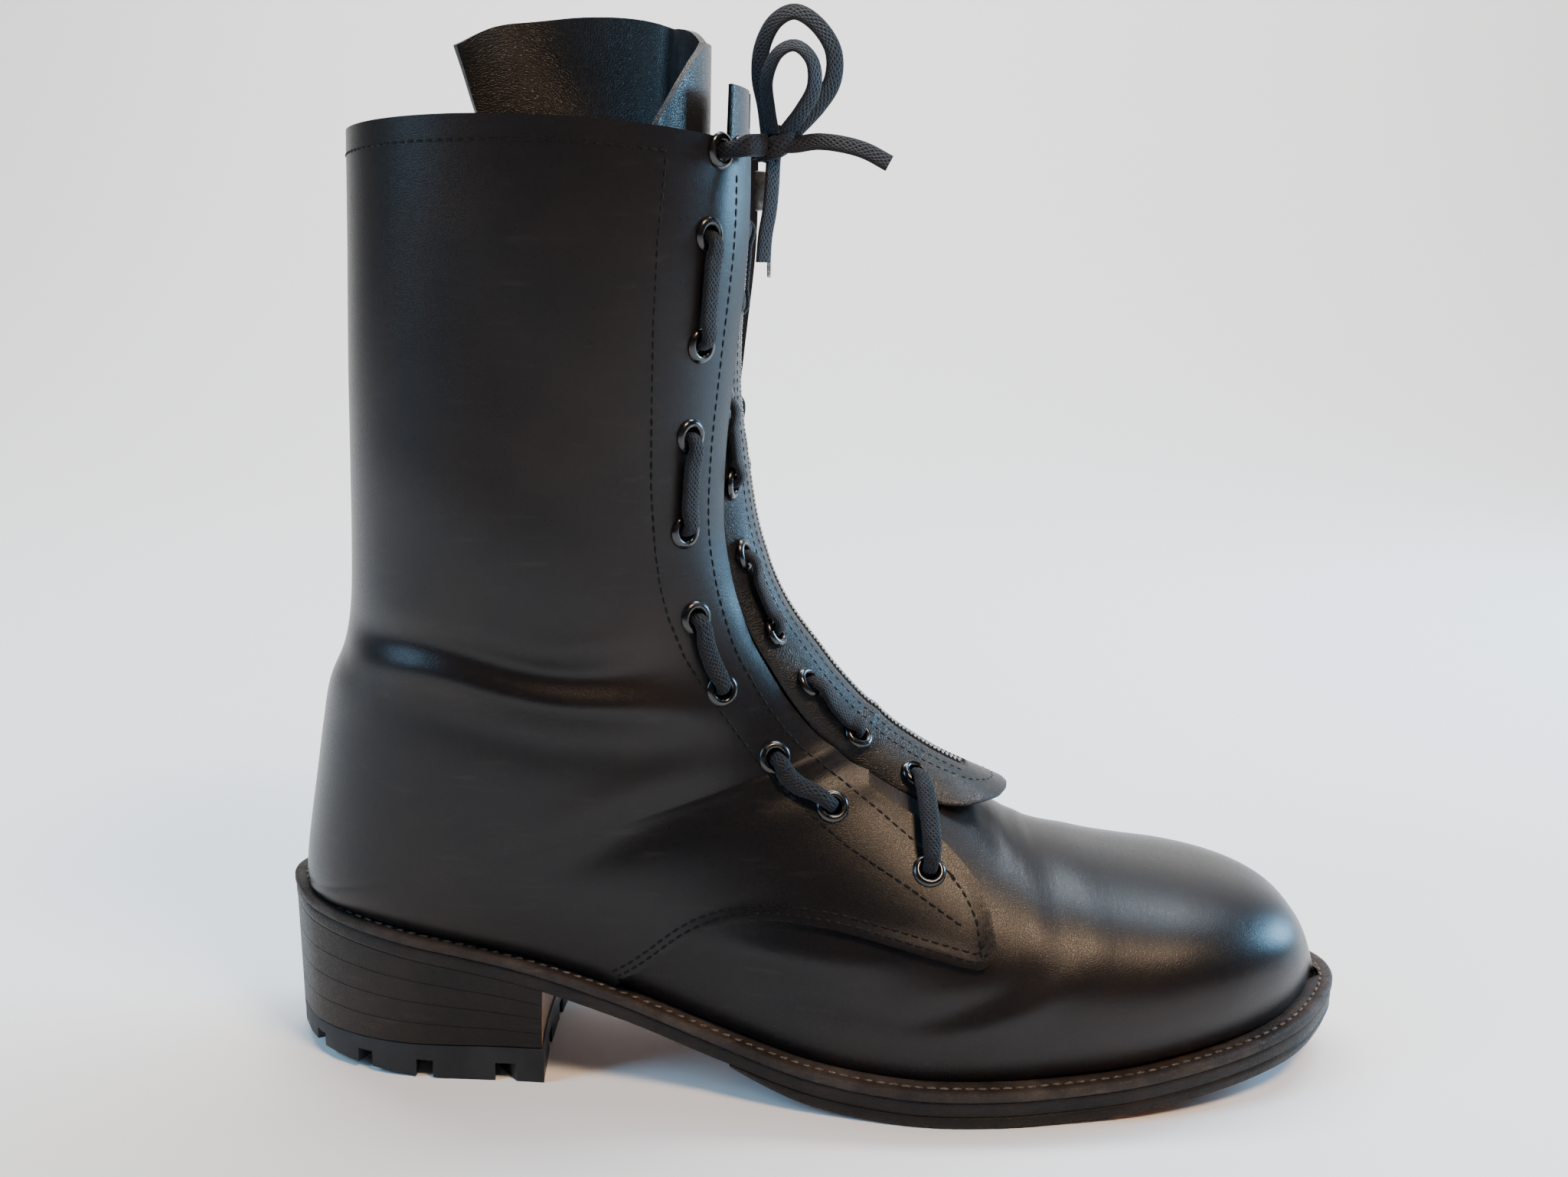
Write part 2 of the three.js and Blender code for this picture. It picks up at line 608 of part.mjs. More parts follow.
// Rim of the collar in side view: front and top are shares of the lengths they lie along
const RIM = { front: 0.5, top: 0.27, backDrop: 5.5, bow: 5.5, drop: 7.5 };
function upper() {
  const collar = new THREE.Shape();
  const [front, over] = [LENGTH * RIM.front, COLLAR_HEIGHT * 1.3];
  collar.moveTo(-BEYOND, COLLAR_HEIGHT - RIM.backDrop);
  collar.quadraticCurveTo(along(RIM.top), COLLAR_HEIGHT + RIM.bow, front, COLLAR_HEIGHT - RIM.drop);
  collar.lineTo(front, over);
  collar.lineTo(-BEYOND, over);
  const quarter = upperTube(QUARTER_STEP, FOOT_DROP.outer).intersect(
    sideCutter(quarterShape(), COLLAR_WIDTH),
  );
  let wall = upperTube(0, FOOT_DROP.outer).add(quarter);
  wall = wall.subtract(upperTube(-VAMP_WALL, FOOT_DROP.inner));
  wall = wall.subtract(plate(-LEDGE, -LEDGE, (x) => weltTop(x) + GAP, (x) => weltTop(x) - 20));
  wall = wall.subtract(sideCutter(collar, COLLAR_WIDTH, 8));
  wall = wall.subtract(
    box(
      [LENGTH * THROAT.start, -THROAT.half, THROAT.floor],
      [THROAT.end, THROAT.half, COLLAR_HEIGHT * 1.3],
    ),
  );
  [LATERAL, MEDIAL].forEach((side) =>
    EYELETS.forEach((row) => {
      const { at, way } = facingEyelet(side, row);
      const drill = new THREE.CylinderGeometry(EYELET.hole, EYELET.hole, 12, 6);
      drill.applyQuaternion(towards(way));
      const middle = at(0);
      wall = wall.subtract(toSolid(drill.translate(middle.x, middle.y, middle.z)));
    }),
  );
  add("upper", wall.simplify(FINEST), LOOK.leather);
}
upper();

function facingEyelets() {
  const profile = [
    [EYELET.inner, 0],
    [EYELET.outer, 0],
    [EYELET.outer - 0.6, EYELET.height],
    [EYELET.inner, EYELET.height],
    [EYELET.inner, 0],
  ].map(([r, h]) => new THREE.Vector2(r, h));
  [LATERAL, MEDIAL].forEach((side) =>
    EYELETS.forEach((row, i) => {
      const { at, way, seat: rise } = facingEyelet(side, row);
      const seat = at(rise);
      const ring = new THREE.LatheGeometry(profile, 8).applyQuaternion(towards(way));
      const name = `eyelet_${sideOf[side]}_${i + 1}`;
      add(name, toSolid(ring.translate(seat.x, seat.y, seat.z)), LOOK.enamel);
    }),
  );
}
facingEyelets();

// Insole: a board on the welt, inside the foot of the wall
function insole() {
  const seat = (x) => weltTop(x) + GAP;
  const inset = LEDGE + VAMP_WALL + 2 * GAP;
  add("insole", plate(inset + 1, inset + 0.6, (x) => seat(x) + INSOLE, seat), LOOK.quarterLining);
}
insole();

// Zip panel between the facings, over the tongue: how far its under side stands off the last at
// the crown, and how far its edges fall below that
const PANEL_ROWS = table(["u", "crown", "arch", "taper"], [
  [-0.32, -5.5, 1.5, 1],
  [0.5, -5.4, 2, 1],
  [1.5, -5, 2.5, 1],
  [2.4, -3, 4, 1],
  [3.1, 0.3, 5, 1],
  [3.8, 2.6, 6, 1],
  [4.7, 4, 6.5, 1],
  [5.8, 4.6, 6.5, 1],
  [7, 5.2, 6.5, 1],
  [8.2, 5.4, 6.5, 1],
  [9.4, 4.8, 6.5, 1],
  [11, 3.4, 6.5, 1],
  [13, 2.4, 6.5, 1],
  [15.4, 2, 6.5, 1],
  [17, 2.2, 6.2, 1],
  [18.2, 3, 5, 0.97],
  [19.1, 4, 3.5, 0.88],
  [19.8, 4.9, 2, 0.7],
  [20.3, 5.4, 1, 0.42],
]);
const panelCrown = through(PANEL_ROWS, "crown", (row) => row.u);
const panelArch = through(PANEL_ROWS, "arch", (row) => row.u);
const swingAt = (u) => lastPoint(u, 0).y;
const panelRise = (u, offCentre) => panelCrown(u) - panelArch(u) * (offCentre / PANEL_HALF) ** 2;
function panelPoint(u, offCentre, rise) {
  const side = offCentre < 0 ? LATERAL : MEDIAL;
  const v = offCentre === 0 ? 0 : acrossBy(u, side, Math.abs(offCentre) + side * swingAt(u));
  return skin(u, v, panelRise(u, offCentre) + rise);
}

function panelEyelet(side, row) {
  const offCentre = side * PANEL_EYELET;
  const at = (rise) => panelPoint(row.panel, offCentre, rise);
  return { at, way: at(1).sub(at(0)).normalize() };
}

function zipPanel() {
  const columns = [-1, -0.55, 0, 0.55, 1];
  const grid = (rise) =>
    PANEL_ROWS.map((row) =>
      columns.map((share) => panelPoint(row.u, share * PANEL_HALF * row.taper, rise)),
    );
  let panel = slab(grid(PANEL), grid(0));
  [LATERAL, MEDIAL].forEach((side) =>
    EYELETS.forEach((row) => {
      const { at, way } = panelEyelet(side, row);
      const drill = new THREE.CylinderGeometry(EYELET.inner, EYELET.inner, 9, 6);
      drill.applyQuaternion(towards(way));
      const middle = at(PANEL / 2);
      panel = panel.subtract(toSolid(drill.translate(middle.x, middle.y, middle.z)));
    }),
  );
  add("zip_panel", panel.simplify(FINEST), LOOK.leather);
  const zipRows = PANEL_ROWS.filter((row) => row.u < ZIP.end);
  const strip = (rise) =>
    zipRows.map((row) =>
      [-ZIP.half, ZIP.half].map((y) => panelPoint(row.u, y, PANEL + GAP + rise)),
    );
  add("zip_teeth", slab(strip(ZIP.height), strip(0)), LOOK.zip);
}
zipPanel();

// Slider at the top of the closed zip, with a pull tab that hangs from its bridge
const SLIDER = { u: 0.45, width: 7, length: 10, height: 3 };
const BRIDGE = { width: 1.6, length: 6, height: 3.2, leg: 1.2 };
const TAB = { width: 5.4, length: 22, thickness: 1, window: 3, bar: 1.2, slot: 4 };
const HINGE = { out: SLIDER.height + 1, down: BRIDGE.length / 2 - BRIDGE.leg - TAB.bar / 2 - GAP };
function zipSlider() {
  const seat = panelPoint(SLIDER.u, 0, PANEL + 2 * GAP + ZIP.height);
  const body = box(
    [0, -SLIDER.width / 2, -SLIDER.length / 2],
    [SLIDER.height, SLIDER.width / 2, SLIDER.length / 2],
  );
  const top = SLIDER.height + BRIDGE.height;
  const bridge = box(
    [SLIDER.height - 0.2, -BRIDGE.width / 2, -BRIDGE.length / 2],
    [top, BRIDGE.width / 2, BRIDGE.length / 2],
  );
  const opening = BRIDGE.length / 2 - BRIDGE.leg;
  const eye = box(
    [SLIDER.height, -BRIDGE.width, -opening],
    [top - BRIDGE.leg, BRIDGE.width, opening],
  );
  const solid = body.add(bridge).subtract(eye);
  add("zip_slider", solid.translate([seat.x, seat.y, seat.z]), LOOK.zip);
  return seat;
}

// The tab is drawn in its own plane with the hinge's axis through its origin.
function pullTab(seat) {
  const outline = new THREE.Shape();
  const half = TAB.width / 2;
  outline.moveTo(-half, TAB.bar / 2);
  outline.lineTo(half, TAB.bar / 2);
  outline.lineTo(half, 2 - TAB.length);
  outline.quadraticCurveTo(0, -TAB.length - 1, -half, 2 - TAB.length);
  const slot = new THREE.Path();
  slot.moveTo(-TAB.window / 2, -TAB.bar / 2);
  slot.lineTo(-TAB.window / 2, -TAB.bar / 2 - TAB.slot);
  slot.lineTo(TAB.window / 2, -TAB.bar / 2 - TAB.slot);
  slot.lineTo(TAB.window / 2, -TAB.bar / 2);
  outline.holes.push(slot);
  const options = { depth: TAB.thickness, bevelEnabled: false, curveSegments: 5 };
  const tab = new THREE.ExtrudeGeometry(outline, options);
  tab.translate(0, 0, -TAB.thickness / 2).rotateX(Math.PI / 2).rotateZ(Math.PI / 2);
  add("pull_tab", toSolid(tab.translate(seat.x + HINGE.out, 0, seat.z - HINGE.down)), LOOK.zip);
}

// Tongue: a wide soft sheet under the facings that stands above the collar on the inner side.
// Rows give how far its outer face lies under the last at the crown and at its edges, and how
// far round it reaches to each side. Its cut top stands highest over the inner side.
const TONGUE_TOP = table(["v", "u"], [
  [-0.05, -0.98],
  [0, -1.01],
  [0.1, -1.1],
  [0.2, -1.27],
  [0.3, -1.36],
  [0.4, -1.45],
  [0.5, -1.465],
  [0.6, -1.335],
  [0.68, -1.215],
  [0.76, -1.03],
]);
const tongueTop = through(TONGUE_TOP, "u", (row) => row.v);
const TONGUE_ROWS = table(["u", "crown", "edge", "lateral", "medial"], [
  [-1.1, -14, -3, 0.05, 0.76],
  [-0.75, -14, -3, 0.13, 0.74],
  [-0.35, -14, -3.3, 0.21, 0.71],
  [0, -14, -3.6, 0.26, 0.68],
  [0.6, -13.5, -4, 0.28, 0.6],
  [1.5, -13, -4, 0.29, 0.48],
  [2.6, -12, -4, 0.29, 0.38],
  [3.7, -9.5, -4, 0.29, 0.32],
  [4.7, -8.5, -4.2, 0.29, 0.3],
  [5.8, -8, -4.6, 0.28, 0.29],
  [7, -8, -5, 0.27, 0.28],
  [8.6, -8, -5.4, 0.26, 0.27],
  [10.5, -8.5, -6, 0.24, 0.25],
  [13, -9.5, -7, 0.2, 0.21],
  [15.5, -9.5, -7.4, 0.17, 0.18],
  [17.4, -9, -7, 0.15, 0.16],
  [18.6, -5.6, -5, 0.13, 0.14],
  [19.3, -2.3, -2.4, 0.12, 0.13],
  [20.3, -2.2, -2.3, 0.1, 0.11],
]);
function tongue() {
  const columns = [-1, -0.6, -0.25, 0, 0.2, 0.4, 0.6, 0.8, 1];
  const grid = (rise) =>
    TONGUE_ROWS.map((row) =>
      columns.map((share) => {
        const v = share * (share < 0 ? row.lateral : row.medial);
        const aside = THREE.MathUtils.smoothstep(Math.abs(v), 0.24, 0.36);
        const fall = row.crown + (row.edge - row.crown) * aside;
        const above = row.u < 0 ? tongueTop(v) / TONGUE_ROWS[0].u : 1;
        return skin(row.u * above, v, fall + rise);
      }),
    );
  add("tongue", slab(grid(0), grid(-TONGUE)), LOOK.leather);
}

// A cord of round section through chosen points, one ring of the section at each
class Route extends THREE.Curve {
  constructor(points) {
    super();
    this.points = points;
  }
  getPoint(t) {
    const place = clamp(t, 0, 1) * (this.points.length - 1);
    const i = Math.min(Math.floor(place), this.points.length - 2);
    return this.points[i].clone().lerp(this.points[i + 1], place - i);
  }
  getPointAt(t) {
    return this.getPoint(t);
  }
  getTangentAt(t) {
    const step = 0.5 / (this.points.length - 1);
    return this.getPoint(t + step).sub(this.getPoint(t - step)).normalize();
  }
}
function cord(points, radius, sides = 5) {
  const section = new THREE.Shape(
    range(sides).map((i) => {
      const angle = (2 * Math.PI * i) / sides;
      return new THREE.Vector2(radius * Math.cos(angle), radius * Math.sin(angle));
    }),
  );
  return toSolid(
    new THREE.ExtrudeGeometry(section, {
      steps: points.length - 1,
      extrudePath: new Route(points),
    }),
  );
}

// Laces: on each side one lace joins the facing to the panel. It lies over pairs of eyelets
// (2-3, 4-5, 6-7, 8-9) and across the lowest, and crosses underneath between the pairs.
const LACE_OVER = LACE_RADIUS + GAP;
const LACE_DROP = 0.6; // further below a panel or facing than above it
function laceStop(side, i, onFacing) {
  const row = EYELETS[i];
  if (onFacing) {
    const { at, seat } = facingEyelet(side, row);
    return {
      above: at(seat + EYELET.height + LACE_OVER),
      below: at(-VAMP_WALL - LACE_OVER - LACE_DROP),
    };
  }
  const { at } = panelEyelet(side, row);
  return { above: at(PANEL + LACE_OVER), below: at(-LACE_OVER - LACE_DROP) };
}

function strand(side, startsOnFacing) {
  const points = [];
  let onFacing = startsOnFacing;
  for (let i = EYELETS.length - 1; i >= 0; i -= 1) {
    const { above, below } = laceStop(side, i, onFacing);
    const goesIn = i % 2 === 1;
    points.push(...(goesIn ? [above, below] : [below, above]));
    if (goesIn && i > 0) {
      const between = (EYELETS[i].panel + EYELETS[i - 1].panel) / 2;
      points.push(panelPoint(between, side * PANEL_HALF, -LACE_OVER - LACE_DROP));
      onFacing = !onFacing;
    }
  }
  if (side === LATERAL) points.push(...leadToKnot(points.at(-1), !startsOnFacing));
  return points;
}

// The bow at the top of the outer side: points of each cord, from the knot, in millimetres
const KNOT = { at: [136.5, -26, 247.5], radius: 4.6 };
const BOW = {
  bow_loop_1: [
    [134, -25, 257], [132.5, -24, 264], [133, -23.5, 271], [136, -23, 277], [141, -22.5, 279.5],
    [146.5, -22, 276.5], [150.5, -22, 270.5], [150.5, -22.5, 263.5], [147, -23.5, 257.5],
  ],
  bow_loop_2: [
    [135, -30, 255.5], [134.5, -32, 262], [137, -33, 268], [141.5, -33, 270], [145.5, -32.5, 266.5],
    [146, -31.5, 260.5], [143, -30, 255],
  ],
  bow_end_1: [[147, -25, 248.5], [153, -24.5, 248], [159, -24, 246.5], [165, -24, 243.5]],
  bow_end_2: [[136, -28, 237.5], [135.5, -28.5, 231.5], [134.5, -28.5, 225.5], [134, -28, 219]],
};
const KNOT_LEADS = { facing: [130.5, -34.5, 246.5], panel: [134, -17.5, 249.5] };
const DRAWN_AT = { length: 300, width: 104.6, height: 252 }; // the boot that the bow is drawn for
const onBoot = ([x, y, z]) =>
  new THREE.Vector3(
    (x * LENGTH) / DRAWN_AT.length,
    (y * COLLAR_WIDTH) / DRAWN_AT.width,
    (z * COLLAR_HEIGHT) / DRAWN_AT.height,
  );

// A stretch of cord that stops short of the knot's face
function fromKnot(point) {
  const middle = onBoot(KNOT.at);
  const way = point.clone().sub(middle).normalize();
  return middle.addScaledVector(way, KNOT.radius + GAP);
}
function leadToKnot(start, fromFacing) {
  const bend = onBoot(fromFacing ? KNOT_LEADS.facing : KNOT_LEADS.panel);
  return [start.clone().lerp(bend, 0.5), bend, fromKnot(bend)];
}
function bow() {
  const ball = new THREE.IcosahedronGeometry(KNOT.radius, 1).translate(...onBoot(KNOT.at).toArray());
  add("bow_knot", toSolid(ball), LOOK.lace);
  Object.entries(BOW).forEach(([name, drawn]) => {
    const points = drawn.map(onBoot);
    const route = [fromKnot(points[0]), ...points];
    if (name.includes("loop")) route.push(fromKnot(points.at(-1)));
    add(name, cord(route, LACE_RADIUS), LOOK.lace);
  });
}
function laces() {
  [LATERAL, MEDIAL].forEach((side) => {
    const last = EYELETS.length - 1;
    const ends = [true, false].map((onFacing) => laceStop(side, last, onFacing).above);
    const middle = ends[0].clone().lerp(ends[1], 0.5);
    middle.addScaledVector(outward(EYELETS[last].panel, side * 0.12), 2.4);
    const bar = cord([ends[0], middle, ends[1]], LACE_RADIUS);
    const lace = [true, false].reduce(
      (all, onFacing) => all.add(cord(strand(side, onFacing), LACE_RADIUS)),
      bar,
    );
    add(`lace_${sideOf[side]}`, lace, LOOK.lace);
  });
}

pullTab(zipSlider());
tongue();
laces();
bow();

const measured = new THREE.Box3().setFromObject(boot);
const centre = measured.getCenter(new THREE.Vector3());
boot.position.set(-centre.x, -centre.y, -measured.min.z);

export default boot;
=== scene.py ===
# A right-foot lace-up leather combat boot with a laced-in zip panel, standing on its sole.
# X runs from heel to toe, -Y is the outer (lateral) side and Z is up. Sizes are in millimetres
# along the part's own length; pieces are made in metres.
import math
from contextlib import contextmanager

import bmesh
import bpy
import numpy as np
from mathutils import Matrix, Vector
from mathutils.bvhtree import BVHTree


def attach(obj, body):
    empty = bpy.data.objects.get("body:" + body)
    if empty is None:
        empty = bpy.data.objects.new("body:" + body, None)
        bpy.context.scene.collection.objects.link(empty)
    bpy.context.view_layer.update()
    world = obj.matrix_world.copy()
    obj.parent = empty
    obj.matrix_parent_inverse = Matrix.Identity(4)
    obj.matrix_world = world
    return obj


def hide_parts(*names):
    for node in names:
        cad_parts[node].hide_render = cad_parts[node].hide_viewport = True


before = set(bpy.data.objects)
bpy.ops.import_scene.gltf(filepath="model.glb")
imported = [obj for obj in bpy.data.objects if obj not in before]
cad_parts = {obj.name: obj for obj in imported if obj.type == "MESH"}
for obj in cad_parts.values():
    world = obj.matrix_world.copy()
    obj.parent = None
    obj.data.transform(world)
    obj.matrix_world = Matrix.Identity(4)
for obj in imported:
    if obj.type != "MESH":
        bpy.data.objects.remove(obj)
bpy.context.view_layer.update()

# Camera: a hand-held picture of the outer side, a little above the boot and level with its
# shaft, at the distance and tilt that the photograph shows.
MM = 0.001
FROM_HEEL = np.array([-150.0, 0.52, 0.0])
camera = bpy.data.objects.new("camera", bpy.data.cameras.new("camera"))
bpy.context.collection.objects.link(camera)
bpy.context.scene.camera = camera
camera.data.sensor_width = 36
camera.data.lens = 35.94
azimuth, elevation, roll = (math.radians(a) for a in (1.63, 10.64, 0.81))
back = Vector((math.sin(azimuth), -math.cos(azimuth), 0)) * math.cos(elevation)
back.z = math.sin(elevation)
level = (-back).cross(Vector((0, 0, 1))).normalized()
above = level.cross(-back)
right = level * math.cos(roll) + above * math.sin(roll)
top = above * math.cos(roll) - level * math.sin(roll)
camera.matrix_world = Matrix.Translation((0.0017, -0.4259, 0.21122)) @ Matrix(
    (right, top, back)
).transposed().to_4x4()


# Bow: the two ends of the lace are tied at the top of the outer side, in a big loop, a small
# loop, a knot and two ends. The lace is a flat braid of black cotton, soft and a little shiny.
def take(piece):
    bpy.ops.object.select_all(action="DESELECT")
    piece.select_set(True)
    bpy.context.view_layer.objects.active = piece


def apply_modifier(piece, kind, **settings):
    take(piece)
    modifier = piece.modifiers.new(kind.lower(), kind)
    for key, value in settings.items():
        setattr(modifier, key, value)
    bpy.ops.object.modifier_apply(modifier=modifier.name)


def read(data, name, size=3):
    """One value of every vertex, face or corner, as rows of numbers."""
    flat = np.empty(size * len(data))
    data.foreach_get(name, flat)
    return flat.reshape(-1, size)


def points_in(piece):
    return read(piece.data.vertices, "co") / MM - FROM_HEEL


def put_points(piece, points):
    piece.data.vertices.foreach_set("co", ((points + FROM_HEEL) * MM).ravel())
    piece.data.update()


def simple(kind, **sizes):
    """One of Blender's own simple meshes."""
    bpy.ops.object.select_all(action="DESELECT")
    kind(**sizes)
    return bpy.context.object


def bend_grid(name, rows, columns, place):
    """A flat grid bent into shape: place(down, round) gives points in mm for shares from 0 to 1."""
    steps = {"x_subdivisions": columns, "y_subdivisions": rows}
    piece = simple(bpy.ops.mesh.primitive_grid_add, size=1, **steps)
    piece.name = name
    flat = read(piece.data.vertices, "co")
    put_points(piece, place(np.clip(0.5 - flat[:, 1], 0, 1), np.clip(flat[:, 0] + 0.5, 0, 1)))
    return piece


def in_edit(piece, *steps):
    take(piece)
    bpy.ops.object.mode_set(mode="EDIT")
    bpy.ops.mesh.select_all(action="SELECT")
    for step in steps:
        step()
    bpy.ops.object.mode_set(mode="OBJECT")


def weld():
    bpy.ops.mesh.remove_doubles(threshold=1e-6)


def close_ends():
    bpy.ops.mesh.select_all(action="DESELECT")
    bpy.ops.mesh.select_non_manifold()
    bpy.ops.mesh.edge_face_add()


def face_out():
    bpy.ops.mesh.select_all(action="SELECT")
    bpy.ops.mesh.normals_make_consistent(inside=False)


def smooth(piece, degrees=40):
    take(piece)
    bpy.ops.object.shade_smooth_by_angle(angle=math.radians(degrees))


def join(name, pieces):
    take(pieces[0])
    for piece in pieces[1:]:
        piece.select_set(True)
    bpy.ops.object.join()
    pieces[0].name = name
    return pieces[0]


def unit(vectors):
    return vectors / np.linalg.norm(vectors, axis=-1, keepdims=True)


def grow(x, start, end):
    """0 up to the start, 1 from the end on, and even in between."""
    return np.clip((x - start) / (end - start), 0, 1)


def gone_along(points):
    """How far along a line each of its points is."""
    return np.concatenate([[0], np.cumsum(np.linalg.norm(np.diff(points, axis=0), axis=1))])


def blend(at, known, values):
    """Rows of values read off at places between the known ones."""
    return np.stack([np.interp(at, known, column) for column in values.T], 1)


def spread(points, spacing):
    """The same smooth line with points at an even spacing."""
    points = np.array(points, float)
    ends = np.vstack([2 * points[0] - points[1], points, 2 * points[-1] - points[-2]])
    fine = []
    for i in range(1, len(ends) - 2):
        a, b, c, d = ends[i - 1 : i + 3]
        t = np.linspace(0, 1, 12, endpoint=False)[:, None]
        fine.append(
            b
            + (c - a) * t / 2
            + (2 * a - 5 * b + 4 * c - d) * t**2 / 2
            + (3 * b - a - 3 * c + d) * t**3 / 2
        )
    fine = np.vstack([*fine, points[-1:]])
    gone = gone_along(fine)
    return blend(np.linspace(0, gone[-1], max(int(gone[-1] / spacing), 4) + 1), gone, fine)


LACE_WIDTH = 5.6
LACE_THICK = 2.0
BOW_THICK = 1.3


def braid_along(name, line, across, widths=None, thickness=LACE_THICK):
    """A flat braid along a line in mm: across is its width's direction at each point."""
    line = np.array(line, float)
    way = unit(np.gradient(line, axis=0))
    across = np.broadcast_to(across, line.shape)
    across = unit(across - way * (across * way).sum(1, keepdims=True))
    up = np.cross(way, across)
    widths = np.full(len(line), LACE_WIDTH) if widths is None else np.array(widths, float)
    step = np.linspace(0, 1, len(line))

    squarer = lambda wave: np.sign(wave) * np.abs(wave) ** 0.8

    def place(down, round_):
        turn = 2 * np.pi * round_
        middle, wide, high = (blend(down, step, values) for values in (line, across, up))
        half = np.interp(down, step, widths) / 2
        thick = thickness / 2 * (LACE_WIDTH / (2 * half)) ** 0.5
        side, rise = squarer(np.cos(turn)) * half, -squarer(np.sin(turn)) * thick
        return middle + wide * side[:, None] + high * rise[:, None]

    piece = bend_grid(name, len(line) - 1, 14, place)
    uv = piece.data.uv_layers[0].data
    uv.foreach_set("uv", (read(uv, "uv", 2) * [1, gone_along(line)[-1]]).ravel())
    in_edit(piece, weld, close_ends, face_out)
    smooth(piece, 60)
    return piece


def node_maker(tree):
    """Adds nodes to a tree, with their settings and input values or links."""

    def add(kind, inputs=(), **settings):
        node = tree.nodes.new(kind)
        for key, value in settings.items():
            setattr(node, key, value)
        for key, value in dict(inputs).items():
            if isinstance(value, bpy.types.NodeSocket):
                tree.links.new(value, node.inputs[key])
            else:
                node.inputs[key].default_value = value
        return node

    return add


def new_material(name, **shader):
    """A material of one Principled shader: its plain values go in here, the others by put()."""
    made = bpy.data.materials.new(name)
    made.use_nodes = True
    tree = made.node_tree
    sockets = tree.nodes["Principled BSDF"].inputs
    for key, value in shader.items():
        sockets[key.replace("_", " ")].default_value = value

    def put(**values):
        for key, value in values.items():
            tree.links.new(value, sockets[key.replace("_", " ")])

    return made, node_maker(tree), put


def object_place(add):
    return add("ShaderNodeTexCoord").outputs["Object"]


def maths(add, operation, *values):
    return add("ShaderNodeMath", dict(enumerate(values)), operation=operation).outputs[0]


def noise(add, place, scale, detail, **more):
    given = {"Vector": place, "Scale": scale, "Detail": detail, **more}
    return add("ShaderNodeTexNoise", given).outputs["Fac"]


def remap(add, value, low, high, to=(0.0, 1.0)):
    given = {"Value": value, "From Min": low, "From Max": high, "To Min": to[0], "To Max": to[1]}
    return add("ShaderNodeMapRange", given).outputs["Result"]


def relief(add, height, strength, distance):
    given = {"Height": height, "Strength": strength, "Distance": distance}
    return add("ShaderNodeBump", given).outputs["Normal"]


def ramp(add, fac, stops):
    node = add("ShaderNodeValToRGB", {"Fac": fac})
    elements = node.color_ramp.elements
    while len(elements) < len(stops):
        elements.new(0.5)
    for element, (place, colour) in zip(elements, stops):
        element.position = place
        element.color = (*colour, 1) if len(colour) == 3 else colour
    return node.outputs["Color"]


def greys(add, fac, *stops):
    """A ramp of plain greys."""
    return ramp(add, fac, [(place, (grey,) * 3) for place, grey in stops])


PLAITS_ROUND, PLAITS_ALONG = 14.0, 0.62


def braid_material():
    made, add, put = new_material(
        "black_braid", Sheen_Weight=0.08, Sheen_Roughness=0.3, Sheen_Tint=(0.55, 0.75, 1, 1),
        Specular_IOR_Level=0.22,
    )
    uv = add("ShaderNodeUVMap", uv_map="UVMap").outputs["UV"]
    split = add("ShaderNodeSeparateXYZ", {"Vector": uv}).outputs
    run = maths(add, "MULTIPLY", split["Y"], PLAITS_ALONG)
    waves = []
    for lean in (1, -1):
        both = maths(add, "ADD", maths(add, "MULTIPLY", split["X"], PLAITS_ROUND * lean), run)
        waves.append(maths(add, "SINE", maths(add, "MULTIPLY", both, math.tau)))
    height = remap(add, maths(add, "MAXIMUM", *waves), -1.0, 1.0)
    mixed = maths(add, "MULTIPLY", height, noise(add, object_place(add), 2200.0, 3.0))
    # The base colour is painted shade and a painted sheen: near black in the grooves between the
    # plaits, lighter and a little blue on their crests where light would catch them. The roughness
    # follows the same crests.
    put(
        Base_Color=ramp(
            add, mixed, [(0.05, (0.001, 0.001, 0.0015)), (0.7, (0.011, 0.012, 0.017))]
        ),
        Roughness=greys(add, mixed, (0, 0.75), (1, 0.5)),
        Normal=relief(add, height, 0.8, 0.0004),
    )
    return made


BRAID = braid_material()
KNOT_AT = np.array([136.5, -26.0, 247.5])
BOW = {
    "bow_braid_1": (
        ["bow_loop_1", "bow_end_1"],
        [
            (135, -25.5, 250), (134, -25, 257), (132.5, -24, 264), (133, -23.5, 271),
            (136, -23, 277), (141, -22.5, 279.5), (146.5, -22, 276.5), (150.5, -22, 270.5),
            (150.5, -22.5, 263.5), (147, -23.5, 257.5), (141, -25.5, 251), (138, -27.5, 248),
            (141, -27, 247.5), (147, -25, 248.5), (153, -24.5, 248), (159, -24, 246.5),
            (165, -24, 243.5),
        ],
        50,
    ),
    "bow_braid_2": (
        ["bow_loop_2", "bow_end_2"],
        [
            (136, -28.5, 250), (135, -30, 255.5), (134.5, -32, 262), (137, -33, 268),
            (141.5, -33, 270), (145.5, -32.5, 266.5), (146, -31.5, 260.5), (143, -30, 255),
            (139, -28, 250), (136.5, -26, 246), (136, -28, 237.5), (135.5, -28.5, 231.5),
            (134.5, -28.5, 225.5), (134, -28, 219),
        ],
        35,
    ),
}


def knot():
    """A band of braid round the crossing, and the crossing's own lump inside it."""
    turn = np.linspace(0, 1.06 * math.tau, 40)[:, None]
    middle = KNOT_AT + [0.2, 0, -0.3]
    band = middle + np.cos(turn) * [3.4, 0, 1.2] + np.sin(turn) * [0, 3.6, 0.6]
    lump = KNOT_AT + np.linspace(-1, 1, 16)[:, None] * [1.2, 0, 4.6]
    shown = [
        braid_along("knot_band", band, [0.3, 0, 1.0]),
        braid_along("knot_lump", lump, [1, 0, 0], np.linspace(4.2, 5.2, 16)),
    ]
    return join("lace_knot", shown)


